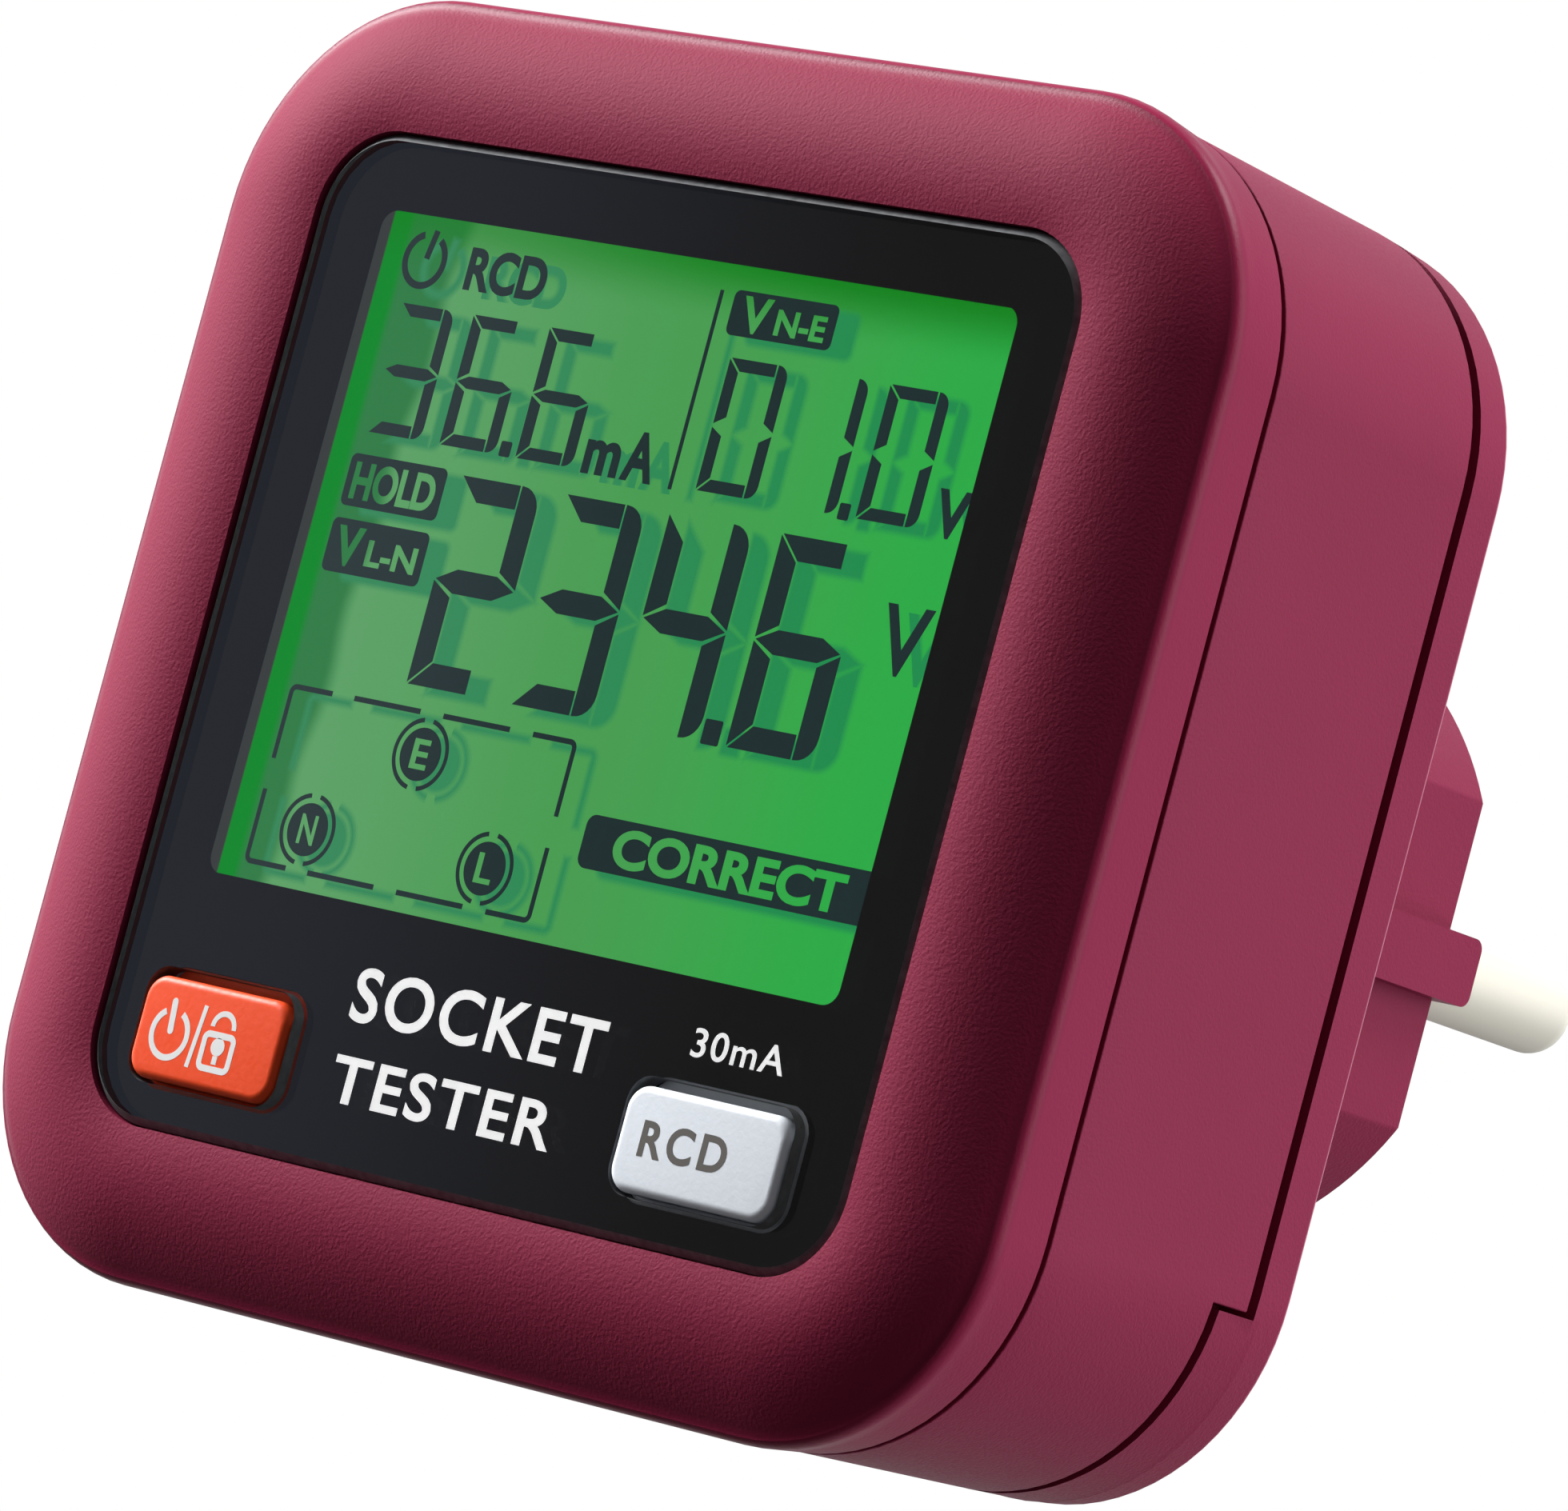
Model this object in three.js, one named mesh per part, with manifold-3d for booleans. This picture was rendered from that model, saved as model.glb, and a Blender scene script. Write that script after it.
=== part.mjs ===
// Socket tester that plugs into a two-pin earthed wall socket: a square case with a display
// and two push buttons in front, and a round plug body with two pins behind.
// Units: millimetres. X is to the right as seen from the display, +Z is up, +Y goes into the wall.
// The origin is the centre of the plug body's end face. Pieces are built by depth, counted
// from the front of the clear display lens, and the whole group is then moved to the origin.
import * as THREE from "three";
import { mergeVertices } from "three/addons/utils/BufferGeometryUtils.js";
import Module from "manifold-3d";

const wasm = await Module();
wasm.setup();

// ---------------------------------------------------------------- driving dimensions
const PLUG_FACE = 57;            // depth of the plug body's end face
const GAP = 0.3;                 // clearance between neighbouring pieces
const WALL = 2.2;                // case wall
const CORNER_STEPS = 6;          // facets in each rounded corner

const CASE = {                   // half sizes of the square case along its depth
  ridge: 36.0, ridgeDepth: 2.6,
  seam: 35.62, rear: 34.95, back: 34.7, corner: 13.3,
  seamFront: 6.37, seamBack: 6.7,        // narrow seam behind the front cover
  grooveFront: 24.35, grooveBack: 25.15, // wide groove in front of the rear cover
  backDepth: 28.2, backEdge: 0.5,
};
const SKIRT = { top: -22.6, lip: GAP, groove: 21.33, start: 22.0 };
const TONGUE = { depth: 2.2, wall: 1.2 };

const STACK_GAP = 0.05;          // clearance between the flat layers of the display
const PANEL_SEAT = 0.25;         // clearance around the lens in the front cover
const LEDGE = { insetX: 1.6, insetZ: 1.3, corner: 1.2, back: 3.6, foot: 4.4 };
const PANEL = { halfX: 27.35, halfZ: 27.7, corner: 4.9, centreZ: 0.17, bevel: 0.42 };
const LENS = { back: 1.45 };
const MASK = { front: 1.5, back: 1.9, inset: 0.3 };
const WINDOW = { x: -0.45, z: 5.27, halfX: 23.05, halfZ: 18.58, corner: 1 };
const BUTTON = { z: -22.15, halfZ: 2.83, corner: 1.3, round: 0.4, proud: 0.25,
  flange: 0.7, flangeFront: 2, flangeBack: 2.9 };
const BUTTON_PLACE = { power: { x: -18.77, halfX: 5.4 }, rcd: { x: 17.05, halfX: 5.68 } };
const BUTTON_HOLE = { z: -22, halfZ: 3.2, gapX: 0.18, corner: 1.5, maskGrow: 0.2 };
const SWITCH = { front: 4.4, half: 3, stem: 1.2 };

const LCD = { front: 2, back: 4.2, halfX: 24.2, bottom: -15.2, top: 24.6 };
const LIGHT = { front: 4.5, back: 6.4, bottom: -12.4 };
const MAIN_BOARD = { front: 8.4, back: 10, half: 25.5, notch: 5 };
const POWER_BOARD = { front: 21, back: 22.6, half: 25.5, notch: 5 };

// Board components: footprint and height, behind the main board or in front of the power board.
const BLOCKS = [
  { name: "microcontroller", on: "main", x: [-7, 7], z: [-2, 12], height: 1.6, look: "black" },
  { name: "crystal", on: "main", x: [10, 14.5], z: [9, 20], height: 3.2, look: "steel" },
  { name: "load_resistor", on: "power", x: [-20, -13.5], z: [-12, 12], height: 6.5, look: "ceramic" },
  { name: "film_capacitor", on: "power", x: [-9, 9], z: [14, 22], height: 7.5, look: "film" },
  { name: "relay", on: "power", x: [6, 21], z: [-14, -4], height: 7.8, look: "blue" },
  { name: "varistor", on: "power", x: [-9, -6.8], z: [-10, -3], height: 7, look: "blue" },
];
const HEADER = { x: 12, bottom: -22, top: -19.5 };
const RESERVOIR = { x: 14, z: 3.5, radius: 4, height: 7.6 };
const FUSE = { x: -0.5, z: 9, below: 3.2, radius: 2.2, length: 9.4, capRadius: 2.6, capLength: 3, capAt: 6.5 };

const POST = { at: 27.2, radius: 2.5, split: 18.2, hole: 1.4, bottom: 9 };
const SCREW = { shank: 1.1, head: 2.4, headBack: 27.3, headFront: 25.4, tip: 10 };

const BOSS = { radius: 18.6, flat: 16.1, wall: 2, end: 2.5 };
const RIB = { out: 17.4, half: 1.94, end: 58.6 };
// The floor under the earth slot's floor, and the slot for the contact's tail.
const EARTH_FLOOR = 1.6;
const TAIL = { half: 2.6, from: 13, to: 17, clear: 0.4 };
const PIN = { x: 9.5, radius: 2.4, tip: 76.5, back: 40, flange: 3.2, flangeFront: 43.7 };
const CARRIER = { front: 44, back: 54.2, clear: 0.4 };
const EARTH = { slot: 3.2, floor: 16.4, front: 31, half: 2, thick: 0.8, tail: 33, end: 55.8 };

// ---------------------------------------------------------------- materials
const finish = (color, roughness, metalness = 0, extra = {}) =>
  new THREE.MeshStandardMaterial({ color, roughness, metalness, ...extra });
const look = {
  case: () => finish(0x9c3a5c, 0.6),
  panel: () => finish(0x14161a, 0.25),
  window: () => finish(0xe8f4ee, 0.05, 0, { transparent: true, opacity: 0.25 }),
  lcd: () => finish(0x5cae63, 0.3),
  diffuser: () => finish(0xf2f2ea, 0.4),
  orange: () => finish(0xf04a20, 0.45),
  white: () => finish(0xd8dee6, 0.45),
  black: () => finish(0x1c1c1e, 0.5),
  rubber: () => finish(0x3a3a3c, 0.9),
  board: () => finish(0x1f6a3a, 0.55),
  ceramic: () => finish(0xe6e2d6, 0.7),
  film: () => finish(0xc9a227, 0.4),
  blue: () => finish(0x2f5fa8, 0.5),
  nickel: () => finish(0xdedbd2, 0.25, 1),
  steel: () => finish(0xb9bcc0, 0.35, 1),
  brass: () => finish(0xc9a35a, 0.3, 1),
  glass: () => finish(0xdfe8ea, 0.1, 0, { transparent: true, opacity: 0.5 }),
  insulation: (color) => finish(color, 0.55),
};

// ---------------------------------------------------------------- solids
// Signed volume of a closed triangle mesh: negative when its faces point in.
function signedVolume(position, index) {
  const [a, b, c] = [new THREE.Vector3(), new THREE.Vector3(), new THREE.Vector3()];
  let volume = 0;
  for (let i = 0; i < index.length; i += 3) {
    a.fromArray(position, index[i] * 3);
    b.fromArray(position, index[i + 1] * 3);
    c.fromArray(position, index[i + 2] * 3);
    volume += a.dot(b.cross(c)) / 6;
  }
  return volume;
}

// Turns a closed geometry into a solid, with its faces pointing out.
function solid(geometry) {
  const bare = geometry.clone();
  bare.deleteAttribute("normal");
  bare.deleteAttribute("uv");
  const merged = mergeVertices(bare, 1e-4);
  const vertProperties = new Float32Array(merged.attributes.position.array);
  const triVerts = new Uint32Array(merged.index.array);
  if (signedVolume(vertProperties, triVerts) < 0) triVerts.reverse();
  return new wasm.Manifold(new wasm.Mesh({ numProp: 3, vertProperties, triVerts }));
}

function geometryOf(body) {
  const mesh = body.getMesh();
  const geometry = new THREE.BufferGeometry();
  geometry.setAttribute("position", new THREE.BufferAttribute(new Float32Array(mesh.vertProperties), 3));
  geometry.setIndex(new THREE.BufferAttribute(new Uint32Array(mesh.triVerts), 1));
  return geometry;
}

// Rounded rectangle about (x, z) at one depth, always with the same number of points.
function loop({ x = 0, z = 0, halfX, halfZ = halfX, corner, depth }) {
  const points = [];
  for (let quarter = 0; quarter < 4; quarter++) {
    const sideX = quarter === 0 || quarter === 3 ? 1 : -1;
    const sideZ = quarter < 2 ? 1 : -1;
    for (let step = 0; step <= CORNER_STEPS; step++) {
      const angle = (quarter + step / CORNER_STEPS) * Math.PI / 2;
      points.push(new THREE.Vector3(
        x + sideX * (halfX - corner) + corner * Math.cos(angle),
        depth,
        z + sideZ * (halfZ - corner) + corner * Math.sin(angle)));
    }
  }
  return points;
}

// Joins loops, listed from front to back, into a closed skin. When the list closes on itself
// the result is a ring; otherwise both ends are capped.
function skin(loops, ring) {
  const count = loops[0].length;
  const vertices = loops.flat();
  const indices = [];
  const rows = ring ? loops.length : loops.length - 1;
  for (let row = 0; row < rows; row++) {
    const here = row * count;
    const next = ((row + 1) % loops.length) * count;
    for (let i = 0; i < count; i++) {
      const j = (i + 1) % count;
      indices.push(here + i, next + j, next + i, here + i, here + j, next + j);
    }
  }
  if (!ring) {
    const last = (loops.length - 1) * count;
    for (let i = 1; i < count - 1; i++) {
      indices.push(0, i + 1, i, last, last + i, last + i + 1);
    }
  }
  const geometry = new THREE.BufferGeometry();
  const positions = vertices.flatMap((point) => point.toArray());
  geometry.setAttribute("position", new THREE.Float32BufferAttribute(positions, 3));
  geometry.setIndex(indices);
  return solid(geometry);
}

const block = (loops) => skin(loops.map(loop), false);
const ring = (loops) => skin(loops.map(loop), true);

function box(x0, x1, depth0, depth1, z0, z1) {
  const geometry = new THREE.BoxGeometry(x1 - x0, depth1 - depth0, z1 - z0);
  geometry.translate((x0 + x1) / 2, (depth0 + depth1) / 2, (z0 + z1) / 2);
  return solid(geometry);
}

function cylinder(radius, depth0, depth1, x = 0, z = 0, sides = 20) {
  const geometry = new THREE.CylinderGeometry(radius, radius, depth1 - depth0, sides);
  geometry.translate(x, (depth0 + depth1) / 2, z);
  return solid(geometry);
}

// Body of revolution about the depth axis at (x, z); profile points are (radius, depth).
function turned(profile, x, z, sides = 20) {
  const geometry = new THREE.LatheGeometry(profile.map(([r, d]) => new THREE.Vector2(r, d)), sides);
  geometry.translate(x, 0, z);
  return solid(geometry);
}

// Round lead through the given points.
function lead(points, radius) {
  const path = new THREE.CatmullRomCurve3(points.map((point) => new THREE.Vector3(...point)));
  const section = new THREE.Shape();
  section.absarc(0, 0, radius, 0, Math.PI * 2);
  return solid(new THREE.ExtrudeGeometry(section, { steps: 12, curveSegments: 4, bevelEnabled: false,
    extrudePath: path }));
}

const corners = [[1, 1], [-1, 1], [-1, -1], [1, -1]];

// ---------------------------------------------------------------- case shells
// Half size of the case's outside at a depth behind the front ridge.
function caseHalf(depth) {
  const stations = [[CASE.ridgeDepth, CASE.ridge], [CASE.seamFront, CASE.seam],
    [CASE.grooveFront, CASE.rear], [CASE.backDepth, CASE.back]];
  let index = 0;
  while (index < stations.length - 2 && depth > stations[index + 1][0]) index++;
  const [d0, a0] = stations[index];
  const [d1, a1] = stations[index + 1];
  return a0 + (a1 - a0) * (depth - d0) / (d1 - d0);
}

const outer = (depth, inset = 0) =>
  ({ halfX: caseHalf(depth) - inset, corner: CASE.corner - inset, depth });

// The bezel's front: a shallow crown from the panel's edge out to the ridge.
function bezelLoops() {
  const crown = { steps: 5, crest: 0.22, height: -0.2, fall: 3.5, inner: PANEL.halfX + PANEL_SEAT };
  const loops = [];
  for (let step = 0; step <= crown.steps; step++) {
    const t = step / crown.steps;
    const halfX = THREE.MathUtils.lerp(crown.inner, CASE.ridge - 0.5, t);
    loops.push({
      halfX, halfZ: halfX + (1 - t) * (PANEL.halfZ - PANEL.halfX), z: PANEL.centreZ * (1 - t),
      corner: THREE.MathUtils.lerp(PANEL.corner + PANEL_SEAT, CASE.corner - 0.5, t),
      depth: crown.height + crown.fall * (t - crown.crest) ** 2,
    });
  }
  return loops;
}

function frontCover() {
  const panelSeat = { halfX: PANEL.halfX + PANEL_SEAT, halfZ: PANEL.halfZ + PANEL_SEAT, z: PANEL.centreZ,
    corner: PANEL.corner + PANEL_SEAT, depth: MASK.back + STACK_GAP };
  const ledge = { halfX: PANEL.halfX - LEDGE.insetX, halfZ: PANEL.halfZ - LEDGE.insetZ, z: PANEL.centreZ,
    corner: LEDGE.corner };
  const shell = ring([
    ...bezelLoops(),
    { halfX: CASE.ridge - 0.12, corner: CASE.corner - 0.1, depth: 2.25 },
    { halfX: CASE.ridge, corner: CASE.corner, depth: CASE.ridgeDepth + 0.2 },
    outer(CASE.seamFront),
    outer(CASE.seamFront, WALL),
    { ...outer(CASE.seamFront, WALL), depth: LEDGE.foot },
    { ...ledge, depth: LEDGE.back },
    { ...ledge, depth: panelSeat.depth },
    panelSeat,
  ]);
  const posts = corners.map(([sx, sz]) =>
    cylinder(POST.radius, 3.8, POST.split, sx * POST.at, sz * POST.at, 16));
  const holes = corners.map(([sx, sz]) =>
    cylinder(POST.hole, POST.bottom, POST.split + 1, sx * POST.at, sz * POST.at, 12));
  return cut(join(shell, posts), holes);
}

const join = (first, others) => others.reduce((sum, other) => sum.add(other), first);
const cut = (first, others) => others.reduce((rest, other) => rest.subtract(other), first);

// Everything below the skirt's top edge, over a range of depths.
const below = (z, depth0, depth1) => box(-60, 60, depth0, depth1, -60, z);

function middleHousing() {
  const inside = WALL + GAP;
  const shell = ring([
    outer(CASE.seamBack), outer(CASE.grooveFront),
    outer(CASE.grooveFront, WALL),
    { ...outer(CASE.seamBack, WALL + TONGUE.wall + GAP), depth: CASE.seamBack + 2.5 },
    { ...outer(CASE.seamBack, inside + TONGUE.wall), depth: CASE.seamBack - TONGUE.depth + 0.4 },
    { ...outer(CASE.seamBack, inside), depth: CASE.seamBack - TONGUE.depth + 0.4 },
    { ...outer(CASE.seamBack, inside), depth: CASE.seamBack },
  ]);
  const postNotches = corners.map(([sx, sz]) =>
    cylinder(POST.radius + GAP, 2, SKIRT.groove, sx * POST.at, sz * POST.at, 16));
  return cut(shell, [below(SKIRT.top, SKIRT.groove, CASE.grooveFront + 1), ...postNotches]);
}

function bossSection(radius, flat, depth0, depth1) {
  const flats = box(-flat, flat, depth0 - 1, depth1 + 1, -30, 30);
  return cylinder(radius, depth0, depth1, 0, 0, 48).intersect(flats);
}

function rearCover() {
  const edge = CASE.backEdge;
  const plate = block([
    outer(CASE.grooveBack), outer(CASE.backDepth - edge),
    { halfX: CASE.back - edge * 0.3, corner: CASE.corner - edge * 0.3, depth: CASE.backDepth - edge * 0.3 },
    { halfX: CASE.back - edge, corner: CASE.corner - edge, depth: CASE.backDepth },
  ]);
  const skirt = ring([
    outer(SKIRT.start), outer(CASE.grooveBack + 0.5),
    outer(CASE.grooveBack + 0.5, WALL), outer(SKIRT.start, WALL),
  ]).intersect(below(SKIRT.top - SKIRT.lip, 0, 60));
  const tongueOut = WALL + GAP;
  const tongue = ring([
    { ...outer(CASE.grooveFront, tongueOut), depth: 20.4 },
    { ...outer(CASE.grooveFront, tongueOut), depth: CASE.grooveBack + 0.5 },
    { ...outer(CASE.grooveFront, tongueOut + TONGUE.wall), depth: CASE.grooveBack + 0.5 },
    { ...outer(CASE.grooveFront, tongueOut + TONGUE.wall), depth: 20.4 },
  ]);
  const link = ring([
    { ...outer(SKIRT.start, WALL - 0.4), depth: SKIRT.start },
    { ...outer(SKIRT.start, WALL - 0.4), depth: CASE.grooveBack + 0.5 },
    { ...outer(SKIRT.start, tongueOut + 0.3), depth: CASE.grooveBack + 0.5 },
    { ...outer(SKIRT.start, tongueOut + 0.3), depth: SKIRT.start },
  ]).intersect(below(SKIRT.top - SKIRT.lip, 0, 60));
  const plug = bossSection(BOSS.radius, BOSS.flat, CASE.backDepth - 1, PLUG_FACE);
  const ribs = [-1, 1].map((side) => ribSolid(side));
  const sleeves = corners.map(([sx, sz]) =>
    cylinder(POST.radius, POST.split + GAP, CASE.grooveBack + 0.5, sx * POST.at, sz * POST.at, 16));

  const cavity = bossSection(BOSS.radius - BOSS.wall, BOSS.flat - BOSS.wall, 24, PLUG_FACE - BOSS.end);
  const slotWall = EARTH.slot + BOSS.wall;
  const slotFloors = [-1, 1].map((side) => box(-slotWall, slotWall, EARTH.front - BOSS.wall, 60,
    Math.min(side * (EARTH.floor - EARTH_FLOOR), side * 30),
    Math.max(side * (EARTH.floor - EARTH_FLOOR), side * 30)));
  const slots = [-1, 1].map((side) => box(-EARTH.slot, EARTH.slot, EARTH.front, 60,
    Math.min(side * EARTH.floor, side * 30), Math.max(side * EARTH.floor, side * 30)));
  const tails = [-1, 1].map((side) => box(-TAIL.half, TAIL.half, EARTH.tail - TAIL.clear,
    EARTH.tail + EARTH.thick + TAIL.clear,
    Math.min(side * TAIL.from, side * TAIL.to), Math.max(side * TAIL.from, side * TAIL.to)));
  const pinHoles = [-1, 1].map((side) => cylinder(PIN.radius + GAP, 50, 60, side * PIN.x, 0, 20));
  const screwHoles = corners.flatMap(([sx, sz]) => [
    cylinder(POST.hole, POST.split, 30, sx * POST.at, sz * POST.at, 12),
    cylinder(SCREW.head + GAP, SCREW.headFront - GAP, 30, sx * POST.at, sz * POST.at, 16)]);
  const hollow = cut(cavity, slotFloors);
  return cut(join(plate, [skirt, tongue, link, plug, ...ribs, ...sleeves]),
    [hollow, ...slots, ...tails, ...pinHoles, ...screwHoles]);
}

// Key rib on one flat of the plug body; its free end stands past the end face.
function ribSolid(side) {
  const outline = new THREE.Shape();
  const round = 0.7;
  outline.moveTo(BOSS.flat - 1, CASE.backDepth - 1);
  outline.lineTo(RIB.out, CASE.backDepth - 1);
  outline.lineTo(RIB.out, RIB.end - round);
  outline.absarc(RIB.out - round, RIB.end - round, round, 0, Math.PI / 2, false);
  outline.lineTo(BOSS.flat - 1, RIB.end);
  const geometry = new THREE.ExtrudeGeometry(outline, { depth: 2 * RIB.half, steps: 1, curveSegments: 3,
    bevelEnabled: false });
  geometry.translate(0, 0, -RIB.half);
  if (side < 0) geometry.rotateY(Math.PI);
  return solid(geometry);
}

// ---------------------------------------------------------------- front pieces
// A straight hole through the display's layers, listed by its rounded outline.
const hole = (outline) => block([{ ...outline, depth: -1 }, { ...outline, depth: 3 }]);

const buttonHoles = (grow) => Object.values(BUTTON_PLACE).map(({ x, halfX }) => hole({
  x, z: BUTTON_HOLE.z, halfX: halfX + BUTTON_HOLE.gapX + grow, halfZ: BUTTON_HOLE.halfZ + grow,
  corner: BUTTON_HOLE.corner + grow }));

// Clear front lens with a bevelled edge.
function displayWindow() {
  const { halfX, halfZ, corner, centreZ, bevel } = PANEL;
  const lens = block([
    { halfX: halfX - bevel, halfZ: halfZ - bevel, corner: corner - bevel, z: centreZ, depth: 0 },
    { halfX, halfZ, corner, z: centreZ, depth: bevel },
    { halfX, halfZ, corner, z: centreZ, depth: LENS.back },
  ]);
  return cut(lens, buttonHoles(0));
}

// Black mask behind the lens, open over the display and the buttons.
function displayPanel() {
  const outline = { halfX: PANEL.halfX - MASK.inset, halfZ: PANEL.halfZ - MASK.inset,
    corner: PANEL.corner - MASK.inset, z: PANEL.centreZ };
  const plate = block([{ ...outline, depth: MASK.front }, { ...outline, depth: MASK.back }]);
  return cut(plate, [hole(WINDOW), ...buttonHoles(BUTTON_HOLE.maskGrow)]);
}

function buttonCap({ x, halfX }) {
  const { z, halfZ, corner, round, proud, flange, flangeFront, flangeBack } = BUTTON;
  const section = (inset, depth) =>
    ({ x, z, halfX: halfX - inset, halfZ: halfZ - inset, corner: corner - inset * 0.7, depth });
  return block([
    section(round, -proud), section(round * 0.3, -proud + round * 0.3), section(0, -proud + round),
    section(0, flangeFront), section(-flange, flangeFront), section(-flange, flangeBack),
  ]);
}

const switchStem = (x) => cylinder(SWITCH.stem, 3.2, 5.6, x, BUTTON.z, 16);

function switchBody(x) {
  const { half, front } = SWITCH;
  const body = box(x - half, x + half, front, MAIN_BOARD.front - GAP, BUTTON.z - half, BUTTON.z + half);
  return cut(body, [cylinder(SWITCH.stem + GAP, front - 1, 7.2, x, BUTTON.z, 16)]);
}

function lcdFrame() {
  const wall = 0.8;
  const middle = (LCD.top + LCD.bottom) / 2;
  const inX = LCD.halfX + GAP;
  const inZ = (LCD.top - LCD.bottom) / 2 + GAP;
  const edge = (grow, depth) =>
    ({ z: middle, halfX: inX + grow, halfZ: inZ + grow, corner: 0.3 + grow, depth });
  return ring([edge(0, LCD.front), edge(wall, LCD.front), edge(wall, MAIN_BOARD.front - GAP),
    edge(0, MAIN_BOARD.front - GAP)]);
}

const lcdGlass = () => box(-LCD.halfX, LCD.halfX, LCD.front, LCD.back, LCD.bottom, LCD.top);
const lightGuide = () => box(-LCD.halfX, LCD.halfX, LIGHT.front, LIGHT.back, LIGHT.bottom, LCD.top);
const contactStrip = () => box(-21, 21, LCD.back + GAP, MAIN_BOARD.front - GAP, LCD.bottom, LIGHT.bottom - 0.5);

// Circuit board with its four corners cut back past the screw posts.
function board({ front, back, half, notch }) {
  const outline = new THREE.Shape();
  const inner = half - notch;
  outline.moveTo(half, -inner);
  outline.lineTo(half, inner).lineTo(inner, half).lineTo(-inner, half).lineTo(-half, inner);
  outline.lineTo(-half, -inner).lineTo(-inner, -half).lineTo(inner, -half);
  const geometry = new THREE.ExtrudeGeometry(outline, { depth: back - front, bevelEnabled: false });
  geometry.rotateX(Math.PI / 2);
  geometry.translate(0, back, 0);
  return solid(geometry);
}

// ---------------------------------------------------------------- plug pieces
function plugPin(side) {
  const round = 2.0;
  const profile = [[0, PIN.back], [1.6, PIN.back], [1.6, PIN.back + 1.2], [PIN.flange, PIN.back + 1.2],
    [PIN.flange, PIN.flangeFront], [PIN.radius, PIN.flangeFront], [PIN.radius, PIN.tip - round]];
  for (let step = 1; step < 5; step++) {
    const angle = step / 5 * Math.PI / 2;
    profile.push([PIN.radius * Math.cos(angle) ** 0.8, PIN.tip - round + round * Math.sin(angle)]);
  }
  profile.push([0, PIN.tip]);
  return turned(profile, side * PIN.x, 0, 20);
}

function contactCarrier() {
  const inset = BOSS.wall + CARRIER.clear;
  const body = bossSection(BOSS.radius - inset, BOSS.flat - inset, CARRIER.front, CARRIER.back);
  const bores = [-1, 1].map((side) => cylinder(PIN.radius + GAP, 40, 60, side * PIN.x, 0, 20));
  const clear = EARTH.slot + BOSS.wall + GAP;
  const top = [-1, 1].map((side) => box(-clear, clear, 40, 60,
    Math.min(side * (EARTH.floor - EARTH_FLOOR - GAP), side * 30),
    Math.max(side * (EARTH.floor - EARTH_FLOOR - GAP), side * 30)));
  return cut(body, [...bores, ...top]);
}

// Spring contact lying in its slot, slightly bowed outwards, with a tail into the plug body.
function earthContact(side) {
  const outline = new THREE.Shape();
  const { tail, end, thick, floor } = EARTH;
  const low = floor + GAP;
  const middle = (tail + end) / 2;
  outline.moveTo(tail, 13.5);
  outline.lineTo(tail + thick, 13.5);
  outline.lineTo(tail + thick, low);
  outline.quadraticCurveTo(middle, low + 1.2, end, low);
  outline.lineTo(end, low + thick);
  outline.quadraticCurveTo(middle, low + thick + 1.2, tail, low + thick);
  const geometry = new THREE.ExtrudeGeometry(outline, { depth: 2 * EARTH.half, curveSegments: 6,
    bevelEnabled: false });
  geometry.translate(0, 0, -EARTH.half);
  geometry.applyMatrix4(new THREE.Matrix4().set(0, 0, 1, 0, 1, 0, 0, 0, 0, 1, 0, 0, 0, 0, 0, 1));
  if (side < 0) geometry.rotateY(Math.PI);
  return solid(geometry);
}

const earthBridge = () => box(-EARTH.half, EARTH.half, EARTH.tail, EARTH.tail + EARTH.thick, -13.2, 13.2);

const pinLead = (side) => lead([[side * 9.5, 39.6, 0], [side * 9.5, 36, 0.4], [side * 10.6, 30, 4],
  [side * 11, 26, 6], [side * 11, 23, 6.2]], 0.9);
const earthLead = () => lead([[0, 32.6, -7], [0, 29, -7], [1.5, 26, -8], [1.5, 23, -8]], 0.9);

function caseScrew([sx, sz]) {
  const { shank, head, headBack, headFront, tip } = SCREW;
  const body = turned([[0, tip], [shank * 0.5, tip], [shank, tip + 1], [shank, headFront], [head, headFront],
    [head, headBack - 0.5], [head - 0.5, headBack], [0, headBack]], sx * POST.at, sz * POST.at, 16);
  const x = sx * POST.at;
  const z = sz * POST.at;
  const crossArms = [box(x - 1.3, x + 1.3, headBack - 0.9, 30, z - 0.35, z + 0.35),
    box(x - 0.35, x + 0.35, headBack - 0.9, 30, z - 1.3, z + 1.3)];
  return cut(body, crossArms);
}

// ---------------------------------------------------------------- assembly
const tester = new THREE.Group();
tester.position.y = -PLUG_FACE;

function add(name, body, material) {
  const mesh = new THREE.Mesh(geometryOf(body), material);
  mesh.name = name;
  tester.add(mesh);
}

add("front_cover", frontCover(), look.case());
add("middle_housing", middleHousing(), look.case());
add("rear_cover", rearCover(), look.case());
add("display_panel", displayPanel(), look.panel());
add("display_window", displayWindow(), look.window());
add("power_button", buttonCap(BUTTON_PLACE.power), look.orange());
add("rcd_button", buttonCap(BUTTON_PLACE.rcd), look.white());
for (const [name, { x }] of Object.entries(BUTTON_PLACE)) {
  add(`${name}_switch_stem`, switchStem(x), look.black());
  add(`${name}_switch_body`, switchBody(x), look.black());
}
add("lcd_glass", lcdGlass(), look.lcd());
add("light_guide", lightGuide(), look.diffuser());
add("lcd_frame", lcdFrame(), look.black());
add("contact_strip", contactStrip(), look.rubber());
add("main_board", board(MAIN_BOARD), look.board());
add("power_board", board(POWER_BOARD), look.board());

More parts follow.
